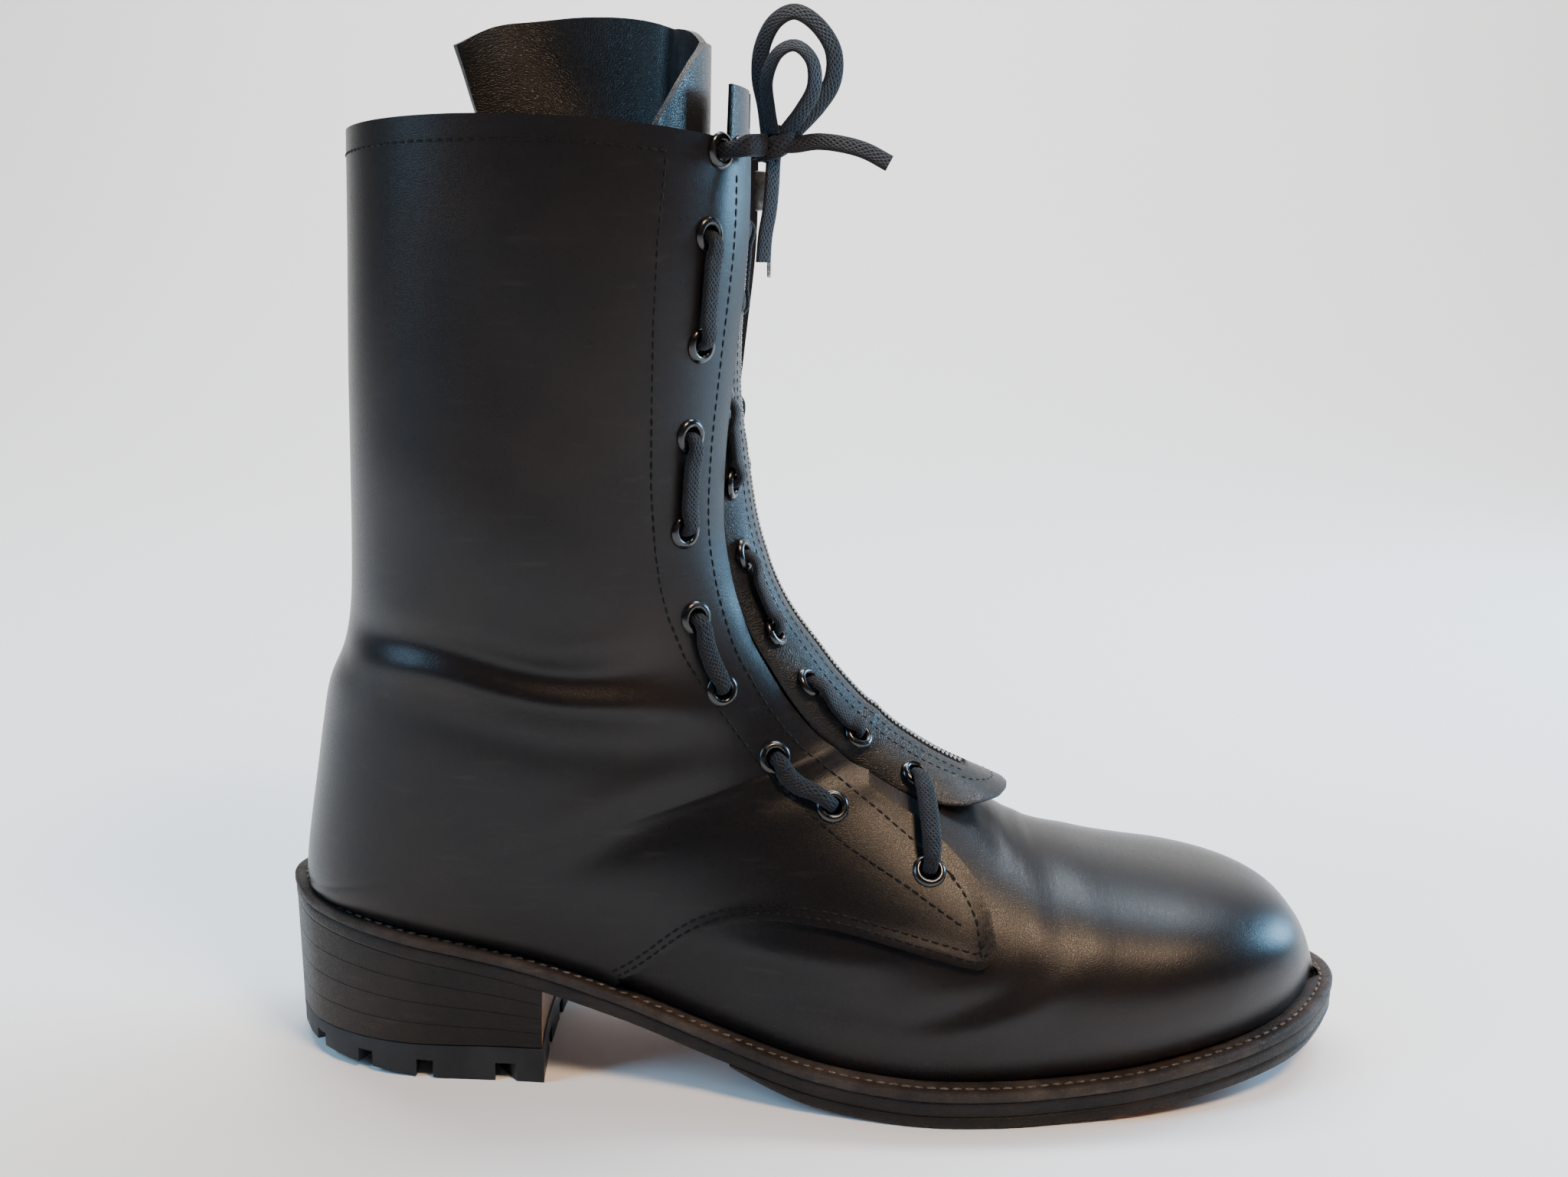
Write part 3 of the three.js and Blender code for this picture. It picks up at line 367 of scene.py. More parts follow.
lace_knot = knot()
for name, (nodes, points, twist) in BOW.items():
    line = spread(points, 1.0)
    way = unit(np.gradient(line, axis=0))
    plane = np.cross(way, [0, 1, 0])
    angle = math.radians(twist)
    lean = unit(np.cos(angle) * np.array([0, 1.0, 0]) + np.sin(angle) * plane)
    braid = braid_along(name, line, lean, thickness=BOW_THICK)
    braid.data.materials.append(BRAID)
    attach(braid, "boot")
    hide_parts(*nodes)
    float(gone_along(line)[-1] * MM)
lace_knot.data.materials.append(BRAID)
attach(lace_knot, "boot")
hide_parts("bow_knot")

# Sole: a dark leather welt stitched all round, an outsole and a half sole of russet leather,
# waxed dark on their edges, and under the seat a wedge of four leather lifts.
LENGTH = 300.0
BALL_WIDTH = 104.0
HEEL_RISE = 37.3
TOE_SPRING = 11.1
GAP = 0.3
WELT = 2.8
OUTSOLE = 3.5
HALF_SOLE = 3.5
LEDGE = 6.6
SOLE_STACK = WELT + OUTSOLE + HALF_SOLE + 2 * GAP


def through(at, value):
    """A smooth curve through chosen places, level beyond the last one."""
    at, value = np.array(at, float), np.array(value, float)
    rise = np.diff(value) / np.diff(at)
    slope = np.concatenate([rise[:1], (rise[1:] + rise[:-1]) / 2, rise[-1:]])

    def curve(x):
        x = np.asarray(x, float)
        i = np.clip(np.searchsorted(at, x, side="right") - 1, 0, len(at) - 2)
        width = at[i + 1] - at[i]
        p = np.clip((x - at[i]) / width, 0, 1)
        inside = (
            (2 * p**3 - 3 * p**2 + 1) * value[i]
            + (p**3 - 2 * p**2 + p) * width * slope[i]
            + (3 * p**2 - 2 * p**3) * value[i + 1]
            + (p**3 - p**2) * width * slope[i + 1]
        )
        return np.where(x < at[0], value[0] + slope[0] * (x - at[0]), inside)

    return curve


OUTLINE = np.array([
    (0, 0, 0), (0.01, 0.101, 0.109), (0.04, 0.225, 0.239), (0.12, 0.337, 0.348),
    (0.25, 0.352, 0.35), (0.4, 0.403, 0.301), (0.5, 0.476, 0.301), (0.6, 0.528, 0.376),
    (0.66, 0.522, 0.457), (0.72, 0.492, 0.509), (0.8, 0.443, 0.514), (0.88, 0.358, 0.467),
    (0.94, 0.247, 0.374), (0.98, 0.1, 0.244), (1, -0.073, 0.073),
])
OUTLINE_TURN = np.arccos(1 - 2 * OUTLINE[:, 0]) / np.pi
OUTER_WIDTH = through(OUTLINE_TURN, OUTLINE[:, 1])
INNER_WIDTH = through(OUTLINE_TURN, OUTLINE[:, 2])


def sole_edge(inset, steps):
    """The sole's outline moved inwards, once round from the heel along the outer side."""
    turn = np.arange(2 * steps) / steps
    outer = turn <= 1
    turn = np.where(outer, turn, 2 - turn)
    width = np.where(outer, -OUTER_WIDTH(turn), INNER_WIDTH(turn)) * BALL_WIDTH
    edge = np.stack([LENGTH * (1 - np.cos(np.pi * turn)) / 2, width], 1)
    way = unit(np.roll(edge, -1, 0) - np.roll(edge, 1, 0))
    return edge + inset * np.stack([-way[:, 1], way[:, 0]], 1)


WELT_LINE = np.array([
    (0, 1, 0), (0.117, 0.853, 0), (0.25, 0.627, 0), (0.333, 0.434, 0), (0.417, 0.212, 0),
    (0.5, 0.054, 0), (0.583, 0, 0), (0.683, 0, 0), (0.767, 0, 0.108), (0.85, 0, 0.378),
    (0.933, 0, 0.7), (1, 0, 1),
])
rise_at = through(WELT_LINE[:, 0], WELT_LINE[:, 1])
spring_at = through(WELT_LINE[:, 0], WELT_LINE[:, 2])


def welt_top(x):
    rise = HEEL_RISE * np.maximum(rise_at(x / LENGTH), 0)
    return SOLE_STACK + rise + TOE_SPRING * np.maximum(spring_at(x / LENGTH), 0)


def outsole_bottom(x):
    return welt_top(x) - WELT - GAP - OUTSOLE


def stand(name, mesh):
    """A mesh as a piece of the scene."""
    piece = bpy.data.objects.new(name, mesh)
    bpy.context.collection.objects.link(piece)
    return piece


@contextmanager
def opened(mesh):
    """The mesh's faces and points, open for changes."""
    shape = bmesh.new()
    shape.from_mesh(mesh)
    yield shape
    shape.to_mesh(mesh)
    shape.free()


def stack_rings(name, rings, closed):
    """A solid through rings of points in mm: closed joins the last ring to the first."""
    count = len(rings[0])
    mesh = bpy.data.meshes.new(name)
    with opened(mesh) as shape:
        rows = [[shape.verts.new((p + FROM_HEEL) * MM) for p in ring] for ring in rings]
        for a, b in zip(rows, rows[1:] + rows[:1] if closed else rows[1:]):
            for j in range(count):
                shape.faces.new((a[j], b[j], b[(j + 1) % count], a[(j + 1) % count]))
        if not closed:
            shape.faces.new(rows[0])
            shape.faces.new(rows[-1][::-1])
    piece = stand(name, mesh)
    in_edit(piece, face_out)
    smooth(piece, 50)
    return piece


SOLE_STEPS = 150
INSIDE = 3.0
TOUCH = 0.02


def ring_at(inset, height, cut=None):
    """The sole's outline, moved in and set at its height, as a ring of points."""
    edge = sole_edge(inset, SOLE_STEPS)
    if cut:
        edge = cut(edge)
    return np.column_stack([edge, height(edge[:, 0])])


def layer(name, top, bottom, insets, round_, cut=None):
    """One flat layer of the sole whose edge is a little round."""
    thin = lambda share: lambda x: bottom(x) + (top(x) - bottom(x)) * share
    above, below = insets
    section = [
        (above + INSIDE, top), (above + round_, top), (above + 0.3 * round_, thin(0.895)),
        (above, thin(0.7)), (below, thin(0.3)), (below + 0.3 * round_, thin(0.105)),
        (below + round_, bottom), (below + INSIDE, bottom),
    ]
    return stack_rings(name, [ring_at(*place, cut) for place in section], False)


WELT_RING = 16.0
WELT_SECTION = [
    (WELT_RING, 0), (LEDGE, 0), (4.2, 0.1), (3.4, -0.35), (2.6, -0.05), (1.1, 0), (0.3, -0.35),
    (0, -0.9), (0, 0.8 - WELT), (0.25, 0.25 - WELT), (0.8, -WELT), (WELT_RING, -WELT),
]
welt = stack_rings(
    "stitched_welt",
    [ring_at(inset, lambda x, up=up: welt_top(x) + up) for inset, up in WELT_SECTION],
    True,
)
outsole = layer(
    "outsole_leather", lambda x: welt_top(x) - WELT - TOUCH, outsole_bottom, (0.3, 0.3), 0.3
)
HALF_SOLE_END = 128.0
SKIVE = 26.0


def forepart(edge):
    kept = edge.copy()
    kept[:, 0] = np.maximum(kept[:, 0], HALF_SOLE_END)
    return kept


def half_sole_under(x):
    """The half sole is skived thin where it starts at the waist."""
    skived = grow(x, HALF_SOLE_END, HALF_SOLE_END + SKIVE)
    thick = HALF_SOLE * (0.22 + 0.78 * skived * (2 - skived))
    return outsole_bottom(x) - GAP - thick


half_sole = layer(
    "half_sole_leather", lambda x: outsole_bottom(x) - TOUCH, half_sole_under, (0.35, 0.9),
    0.7, forepart,
)
HEEL_LENGTH = 80.0
HEEL_HOLLOW = 5.0
HEEL_LIFTS = 4
HEEL_INSET = 0.5
HEEL_TAPER = 0.7
LIFT_SOFT = 0.12
RUBBER = 10.0


def side_line(points, spacing=1.0):
    """A smooth line in a plane, at an even spacing."""
    return spread(np.column_stack([points, np.zeros(len(points))]), spacing)[:, :2]


def breast_ring(inset, height):
    """The outline behind the breast, closed along the breast's hollow curve."""
    edge = sole_edge(inset, SOLE_STEPS)
    breast = lambda y: (
        HEEL_LENGTH - HEEL_HOLLOW * (1 - (2 * y / BALL_WIDTH) ** 2) - 0.4 * inset
    )
    sides = []
    for half in (edge[: SOLE_STEPS + 1], edge[SOLE_STEPS + 1 :]):
        line = side_line(half[half[:, 0] < breast(half[:, 1])], 0.3)
        sides.append(line[np.linspace(0, len(line) - 1, 58).astype(int)])
    y = np.linspace(sides[0][-1, 1], sides[1][0, 1], 22)
    ring = np.vstack([sides[0], np.column_stack([breast(y), y]), sides[1]])
    return np.column_stack([ring, height(ring[:, 0])])


def lift(i):
    low, high = i / HEEL_LIFTS, (i + 1) / HEEL_LIFTS
    inset = lambda share: HEEL_INSET + HEEL_TAPER * (1 - share)
    level_at = lambda x, share: RUBBER + (outsole_bottom(x) - RUBBER) * share
    rings = [
        breast_ring(inset(high) + LIFT_SOFT, lambda x: level_at(x, high) - TOUCH),
        breast_ring(inset(high), lambda x: level_at(x, high) - TOUCH - LIFT_SOFT * 0.6),
        breast_ring(inset(low), lambda x: level_at(x, low) + LIFT_SOFT * 0.6),
        breast_ring(inset(low) + LIFT_SOFT, lambda x: level_at(x, low)),
    ]
    return stack_rings(f"leather_lift_{i + 1}", rings, False)


lifts = [lift(i) for i in range(HEEL_LIFTS)]


def leather_wear_group():
    """Grain, pores, soft mottling, scuffs and fine creases, shared by every leather."""
    group = bpy.data.node_groups.new("leather_wear", "ShaderNodeTree")
    for name in ("Grain", "Mottle", "Crease"):
        group.interface.new_socket(name, in_out="INPUT", socket_type="NodeSocketFloat")
    for name in ("Height", "Mottle", "Scuff", "Fine"):
        group.interface.new_socket(name, in_out="OUTPUT", socket_type="NodeSocketFloat")
    add = node_maker(group)
    given = add("NodeGroupInput").outputs
    place = object_place(add)
    pores = add(
        "ShaderNodeTexVoronoi", {"Vector": place, "Scale": given["Grain"]},
        feature="DISTANCE_TO_EDGE",
    ).outputs["Distance"]
    fine = noise(add, place, given["Grain"], 4.0, Roughness=0.65)
    streaked = add("ShaderNodeMapping", {"Vector": place, "Scale": (60.0, 200.0, 420.0)})
    drawn = add(
        "ShaderNodeMapping",
        {"Vector": place, "Scale": (420.0, 90.0, 130.0), "Rotation": (0.0, 0.35, 0.0)},
    )
    ripple = noise(add, drawn.outputs[0], 1.0, 3.0, Roughness=0.6)
    ball = add("ShaderNodeVectorMath", {0: place, 1: (0.062, 0.0, 0.062)}, operation="DISTANCE")
    bent = remap(add, ball.outputs["Value"], 0.058, 0.024)
    crease = maths(add, "MULTIPLY", ripple, maths(add, "MULTIPLY", bent, given["Crease"]))
    grained = maths(add, "ADD", remap(add, pores, 0.0, 0.12), fine)
    add("NodeGroupOutput", {
        "Height": maths(add, "ADD", grained, crease),
        "Mottle": noise(add, place, given["Mottle"], 3.0, Roughness=0.55),
        "Scuff": remap(add, noise(add, streaked.outputs[0], 1.0, 5.0), 0.6, 0.9),
        "Fine": fine,
    })
    return group


WEAR = leather_wear_group()


def worn(add, grain, mottle, crease=0.0):
    """The wear that the leathers share, at this leather's own grain, mottling and creases."""
    given = {"Grain": grain, "Mottle": mottle, "Crease": crease}
    return add("ShaderNodeGroup", given, node_tree=WEAR).outputs


def leather(name, colours, roughness, grain, mottle, bump, crease=0.0, **shader):
    """colours: dark, middle and light of the mottling, and the scuffs' colour."""
    made, add, put = new_material(name, **shader)
    wear = worn(add, grain, mottle, crease)
    dark, middle, light, scuffed = colours
    base = ramp(add, wear["Mottle"], [(0.3, dark), (0.5, middle), (0.72, light)])
    mixed = add(
        "ShaderNodeMix", {"Factor": wear["Scuff"], 6: base, 7: (*scuffed, 1)}, data_type="RGBA"
    )
    put(
        Base_Color=mixed.outputs[2],
        Roughness=remap(add, wear["Fine"], 0.3, 0.7, roughness),
        Normal=relief(add, wear["Height"], bump, 0.00015),
    )
    return made


SOLE_EDGE = leather(
    "waxed_edge",
    ((0.004, 0.0035, 0.0035), (0.008, 0.006, 0.0055), (0.016, 0.011, 0.009), (0.03, 0.02, 0.015)),
    (0.38, 0.6), grain=900.0, mottle=60.0, bump=0.35, Specular_IOR_Level=0.22,
)
WELT_LEATHER = leather(
    "welt_leather",
    ((0.012, 0.009, 0.008), (0.026, 0.019, 0.016), (0.055, 0.042, 0.034), (0.1, 0.075, 0.06)),
    (0.5, 0.75), grain=1100.0, mottle=80.0, bump=0.5, Specular_IOR_Level=0.25,
)
LIFT_EDGE = leather(
    "lift_edge",
    ((0.004, 0.0035, 0.0035), (0.008, 0.006, 0.005), (0.016, 0.01, 0.007), (0.035, 0.022, 0.014)),
    (0.38, 0.58), grain=1300.0, mottle=35.0, bump=0.3, Specular_IOR_Level=0.22,
)
BREAST_LEATHER = leather(
    "breast_leather",
    ((0.16, 0.07, 0.03), (0.26, 0.12, 0.05), (0.38, 0.2, 0.09), (0.12, 0.05, 0.03)),
    (0.5, 0.7), grain=700.0, mottle=90.0, bump=0.4,
)


def sole_leather_material():
    made, add, put = new_material("russet_sole")
    wear = worn(add, 900.0, 34.0)
    stain = noise(add, object_place(add), 60.0, 8.0)
    blot = maths(add, "MULTIPLY", stain, wear["Mottle"])
    stops = [(0.16, (0.07, 0.045, 0.045)), (0.24, (0.2, 0.085, 0.055)), (0.36, (0.36, 0.16, 0.09))]
    put(
        Base_Color=ramp(add, blot, stops),
        Roughness=remap(add, stain, 0.3, 0.7, (0.35, 0.62)),
        Normal=relief(add, wear["Height"], 0.3, 0.0002),
    )
    return made


RUSSET = sole_leather_material()


def finish(piece, slot, *nodes, body="boot"):
    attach(piece, body)
    if nodes:
        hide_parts(*nodes)


def give(piece, materials):
    piece.data.materials.clear()
    for made in materials:
        piece.data.materials.append(made)


def paint(piece, materials, choose=None):
    """Gives a piece its materials; choose says, from face centres and normals, which goes where."""
    give(piece, materials)
    if choose:
        faces = piece.data.polygons
        index = choose(read(faces, "center") / MM - FROM_HEEL, read(faces, "normal"))
        faces.foreach_set("material_index", np.asarray(index, np.int32))
        piece.data.update()


faces_down = lambda centre, normal: normal[:, 2] < -0.8
faces_toe = lambda centre, normal: (normal[:, 0] > 0.8) & (centre[:, 0] > 60)
paint(welt, [WELT_LEATHER])
finish(welt, "sole_edge_leather", "welt")
paint(outsole, [SOLE_EDGE, RUSSET], faces_down)
finish(outsole, "sole_edge_leather", "outsole")
paint(half_sole, [SOLE_EDGE, RUSSET], faces_down)
finish(half_sole, "sole_leather", "half_sole")
for i, made in enumerate(lifts):
    paint(made, [LIFT_EDGE, BREAST_LEATHER], faces_toe)
    finish(made, "heel_leather", f"heel_lift_{i + 1}")


# Rubber top piece: black moulded rubber with radial lugs round a plain disc, nailed to the
# lifts. The lugs' edges are a little rounded and worn.
def cad_node(node):
    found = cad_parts[node]
    return found if isinstance(found, bpy.types.Object) else bpy.data.objects[node]


def copy_of_node(node, name, round_):
    """A node's own solid, its loose faces joined and its edges rounded."""
    mesh = cad_node(node).data.copy()
    mesh.name = name
    piece = stand(name, mesh)
    mesh.materials.clear()

    def flatten():
        bpy.ops.mesh.remove_doubles(threshold=1e-6)
        bpy.ops.mesh.dissolve_limited(angle_limit=math.radians(2))

    in_edit(piece, flatten)
    apply_modifier(
        piece, "BEVEL", width=round_ * MM, segments=2, limit_method="ANGLE",
        angle_limit=math.radians(30),
    )
    smooth(piece, 35)
    return piece


def rubber_material():
    made, add, put = new_material("moulded_rubber", Specular_IOR_Level=0.3)
    place = object_place(add)
    dust = noise(add, place, 70.0, 6.0)
    put(
        Base_Color=ramp(add, dust, [(0.4, (0.007, 0.008, 0.01)), (0.75, (0.026, 0.028, 0.032))]),
        Roughness=greys(add, dust, (0.3, 0.45), (0.7, 0.7)),
        Normal=relief(add, noise(add, place, 2500.0, 3.0), 0.2, 0.0001),
    )
    return made


WORN_FROM = 58.0
WORN_AWAY = 4.2


def wear_back(piece):
    """The tread is worn up towards the back of the heel, most at its bottom."""
    points = points_in(piece)
    share = grow(points[:, 0], WORN_FROM, 0) ** 1.5
    points[:, 2] += WORN_AWAY * share * np.clip(1 - points[:, 2] / RUBBER, 0, 1)
    put_points(piece, points)


MOULDED = rubber_material()
rubber = copy_of_node("heel_top_piece", "rubber_top_piece", 0.5)
wear_back(rubber)
paint(rubber, [MOULDED])
finish(rubber, "rubber", "heel_top_piece")


# Last: the shape the upper was pulled over, in rows from the collar (0) to the toe (32).
# A row runs from the back or outer edge (-1) over the front (0) to the back or inner edge (1).
COLLAR_HEIGHT = 252.0
COLLAR_WIDTH = 104.6
INSTEP_TOP = SOLE_STACK + 84.2
FEATHER = sole_edge(LEDGE, 160)
OUTER_FEATHER = FEATHER[:161]
INNER_FEATHER = np.vstack([FEATHER[:1], FEATHER[161:][::-1], FEATHER[160:161]])
FEATHER_START, FEATHER_END = FEATHER[0, 0], FEATHER[160, 0]
TOE_SWING = FEATHER[160, 1]
along = lambda share: FEATHER_START + share * (FEATHER_END - FEATHER_START)
SEAT = float(welt_top(FEATHER_START)) + GAP
TOE_SEAT = float(welt_top(FEATHER_END)) + GAP
SHAFT = np.array([
    (0.0676, 1, 0.4383, 0.981, 1, 0.5), (0.0649, 0.863, 0.4372, 0.822, 0.981, 0.5),
    (0.0614, 0.716, 0.4275, 0.644, 0.956, 0.5), (0.0593, 0.578, 0.4198, 0.492, 0.927, 0.5),
    (0.0572, 0.471, 0.4191, 0.368, 0.899, 0.5), (0.0537, 0.392, 0.4282, 0.279, 0.87, 0.49),
    (0.0453, 0.336, 0.4407, 0.216, 0.836, 0.48), (0.0293, 0.284, 0.4557, 0.164, 0.808, 0.46),
    (0.0209, 0.226, 0.4749, 0.116, 0.788, 0.44), (0.0132, 0.162, 0.4951, 0.072, 0.774, 0.42),
    (0.0049, 0.093, 0.516, 0.037, 0.765, 0.4), (-0.001, 0.034, 0.5349, 0.011, 0.76, 0.385),
])
FOOT = np.array([
    (0, 0.547, 1, 0.38, 0.38, 0.375, 2.1, 0),
    (0.0153, 0.552, 0.986, 0.38, 0.38, 0.37, 2.1, 0),
    (0.0467, 0.559, 0.967, 0.379, 0.379, 0.37, 2.05, 0),
    (0.0955, 0.568, 0.941, 0.378, 0.377, 0.37, 2, 0),
    (0.165, 0.58, 0.91, 0.377, 0.37, 0.37, 2, 0),
    (0.249, 0.596, 0.868, 0.379, 0.358, 0.37, 1.95, 0),
    (0.326, 0.613, 0.822, 0.389, 0.348, 0.36, 1.95, 0),
    (0.399, 0.634, 0.767, 0.41, 0.343, 0.35, 1.95, 0.066),
    (0.472, 0.66, 0.699, 0.441, 0.348, 0.33, 2, 0.2),
    (0.545, 0.6925, 0.627, 0.469, 0.369, 0.31, 2.05, 0.33),
    (0.6185, 0.729, 0.57, 0.483, 0.4, 0.3, 2.1, 0.5),
    (0.692, 0.77, 0.525, 0.473, 0.441, 0.3, 2.15, 0.66),
    (0.7615, 0.8155, 0.488, 0.447, 0.469, 0.31, 2.2, 0.79),
    (0.824, 0.86, 0.4575, 0.41, 0.465, 0.33, 2.3, 0.9),
    (0.88, 0.901, 0.422, 0.355, 0.431, 0.35, 2.35, 0.96),
    (0.925, 0.9365, 0.375, 0.28, 0.374, 0.37, 2.4, 1),
    (0.957, 0.963, 0.315, 0.197, 0.301, 0.4, 2.4, 1),
    (0.978, 0.981, 0.2355, 0.109, 0.223, 0.44, 2.3, 1),
    (0.991, 0.992, 0.148, 0.031, 0.156, 0.48, 2.2, 1),
    (0.9976, 0.998, 0.078, 0, 0.109, 0.5, 2.1, 1),
    (1, 1, 0, 0, 0, 0.5, 2, 1),
])
FIRST_FOOT_ROW = len(SHAFT)
TOE_ROW = len(SHAFT) + len(FOOT) - 1


def last_rows():
    shaft_x, foot_x = along(SHAFT[:, 0]), along(FOOT[:, 0])
    half = SHAFT[:, 4] * COLLAR_WIDTH / 2
    shaft_round = np.full(FIRST_FOOT_ROW, 2.1)
    under = np.maximum(2.2 - 0.1 * np.arange(len(FOOT)), 1.6)
    columns = {
        "base_x": (shaft_x, foot_x),
        "base_z": (SEAT + SHAFT[:, 1] * (COLLAR_HEIGHT - SEAT), welt_top(foot_x) + GAP),
        "crown_x": (along(SHAFT[:, 2]), along(FOOT[:, 1])),
        "crown_z": (
            INSTEP_TOP + SHAFT[:, 3] * (COLLAR_HEIGHT - INSTEP_TOP),
            TOE_SEAT + FOOT[:, 2] * (INSTEP_TOP - TOE_SEAT),
        ),
        "outer": (half, FOOT[:, 3] * BALL_WIDTH),
        "inner": (half, FOOT[:, 4] * BALL_WIDTH),
        "widest": (SHAFT[:, 5], FOOT[:, 5]),
        "round": (shaft_round, FOOT[:, 6]),
        "under": (np.full(FIRST_FOOT_ROW, 2.2), under),
        "swing": (np.zeros(FIRST_FOOT_ROW), FOOT[:, 7] * TOE_SWING),
    }
    number = np.arange(TOE_ROW + 1)
    return {name: through(number, np.concatenate(parts)) for name, parts in columns.items()}


ROWS = last_rows()


def last(u, v):
    """The last's face at rows u and columns v."""
    u, v = np.broadcast_arrays(np.asarray(u, float), np.asarray(v, float))
    row = {name: curve(u) for name, curve in ROWS.items()}
    side = np.where(v < 0, -1.0, 1.0)
    foot = u >= FIRST_FOOT_ROW
    base_x = np.where(foot, np.clip(row["base_x"], FEATHER_START, FEATHER_END), row["base_x"])
    base_z = np.where(foot, welt_top(base_x) + GAP, row["base_z"])
    edge = np.where(
        side < 0,
        np.interp(base_x, OUTER_FEATHER[:, 0], OUTER_FEATHER[:, 1]),
        np.interp(base_x, INNER_FEATHER[:, 0], INNER_FEATHER[:, 1]),
    )
    feather = np.where(foot, np.maximum(side * (edge - row["swing"]), 0), 0)
    bulge = np.where(v < 0, row["outer"] + row["swing"], row["inner"] - row["swing"])
    width = np.maximum(np.maximum(bulge, feather), 0)
    angle = np.pi * np.abs(v)
    cosine, sine = np.abs(np.cos(angle)), np.abs(np.sin(angle))
    over = angle <= np.pi / 2
    share = np.where(
        over,
        row["widest"] + (1 - row["widest"]) * cosine ** (2 / row["round"]),
        row["widest"] * (1 - cosine ** (2 / row["under"])),
    )
    out = np.where(
        over,
        width * sine ** (2 / row["round"]),
        feather + (width - feather) * sine ** (2 / row["under"]),
    )
    return np.stack(
        [
            base_x + (row["crown_x"] - base_x) * share,
            row["swing"] + side * out,
            base_z + (row["crown_z"] - base_z) * share,
        ],
        -1,
    )


def safe_unit(ways):
    return ways / np.maximum(np.linalg.norm(ways, axis=-1, keepdims=True), 1e-9)


def outward(u, v):
    """The way out of the last's face: level at the back seam and straight ahead at the toe."""
    u, v = np.broadcast_arrays(np.asarray(u, float), np.asarray(v, float))
    near = np.clip(v, -0.95, 0.95)
    down = last(u + 0.02, near) - last(u - 0.02, near)
    round_ = last(u, near + 0.01) - last(u, near - 0.01)
    way = safe_unit(np.cross(down, round_))
    seam = (np.abs(v) >= 0.9999) & (u <= FIRST_FOOT_ROW)
    way[..., 1] = np.where(seam, 0, way[..., 1])
    return np.where((u > TOE_ROW - 0.03)[..., None], np.array([1.0, 0, 0]), safe_unit(way))


# Folds that walking has left in the leather, as the photograph shows them: points in side
# view, height (ridges above 0, troughs below), half width, and side (-1 outer, 1 inner, 0 both).
FOLDS = [
    ([(24, 124), (45, 122.5), (58, 120), (70, 117), (85, 114.7), (98, 115), (112, 119)],
     -2.4, 5, -1),
    ([(24, 114), (44, 116), (55, 115.5), (68, 112), (83, 108.4), (98, 106.5), (116, 103.5),
      (130, 98)], 3.0, 5.5, -1),
    ([(34, 106), (55, 104), (78, 98), (98, 96), (118, 92)], -1.3, 7, -1),
    ([(62, 128), (78, 122), (94, 123), (108, 128)], 0.9, 5, -1),
    ([(40, 180), (58, 160), (80, 146), (100, 140)], 0.9, 13, -1),
    ([(58, 232), (70, 200), (88, 172)], -0.7, 14, -1),
    ([(76, 58), (98, 70), (114, 78.5), (130, 83)], -0.9, 6, -1),
    ([(70, 66), (92, 79), (112, 87), (130, 90)], 0.7, 6, -1),
    ([(112, 44), (137, 42), (157, 41), (176, 43), (190, 46)], 1.1, 4.5, -1),
    ([(120, 32), (145, 31), (168, 29), (186, 31)], -0.9, 5.5, -1),
    ([(168, 24), (184, 29), (200, 35), (210, 42)], -1.1, 3.5, -1),
    ([(176, 20), (192, 25), (208, 32), (218, 42)], 0.9, 4, -1),
    ([(199, 72), (205, 62), (209, 50), (210, 40)], 0.45, 5.5, 0),
    ([(206, 72), (212, 60), (215, 48), (214, 36)], -0.5, 5, 0),
    ([(214, 70), (221, 58), (223, 44), (220, 30)], 0.35, 5.5, 0),
    ([(192, 76), (198, 68), (201, 60)], -0.4, 1.6, 0),
    ([(196, 77), (203, 69), (206, 61)], -0.35, 1.4, 0),
    ([(201, 76), (208, 68), (211, 60)], -0.35, 1.4, 0),
    ([(24, 122), (45, 119), (60, 117), (80, 112), (100, 110)], -1.6, 5, 1),
    ([(24, 113), (46, 112), (66, 107), (90, 103), (118, 98)], 2.0, 6, 1),
    ([(60, 92), (90, 90), (118, 86)], -0.8, 7, 1),
    ([(60, 210), (74, 180), (92, 150)], 0.8, 13, 1),
    ([(120, 40), (146, 38), (172, 36)], 0.9, 5, 1),
    ([(160, 26), (182, 30), (204, 40)], -1.0, 4, 1),
    ([(172, 20), (194, 26), (214, 40)], 0.8, 4, 1),
]


def nearest_on(points, line):
    """Where a line is nearest to each point, how far off, and how far along its steps."""
    off, steps, foot = np.full(points.shape[:-1], 1e9), np.zeros(points.shape[:-1]), points
    for i, (a, b) in enumerate(zip(line, line[1:])):
        t = np.clip(((points - a) @ (b - a)) / ((b - a) @ (b - a)), 0, 1)
        place = a + t[..., None] * (b - a)
        away = np.linalg.norm(points - place, axis=-1)
        nearer = away < off
        foot = np.where(nearer[..., None], place, foot)
        off, steps = np.where(nearer, away, off), np.where(nearer, i + t, steps)
    return foot, off, steps


def folds(points):
    """How far the folds raise the leather at points in mm."""
    flat = points[..., [0, 2]]
    total = np.zeros(flat.shape[:-1])
    for path, height, half, where in FOLDS:
        path = side_line(path, 5)
        _, off, steps = nearest_on(flat, path)
        fade = np.sin(np.pi * np.clip(steps / (len(path) - 1), 0, 1)) ** 1.1
        here = height * fade * np.exp(-((off / half) ** 2))
        if where:
            here = here * grow(where * points[..., 1], 0, 6)
        total += here
    return total


def skin(u, v, rise):
    """The leather's face: off the last by a height, with its folds."""
    point = last(u, v)
    return point + outward(u, v) * (rise + folds(point))[..., None]


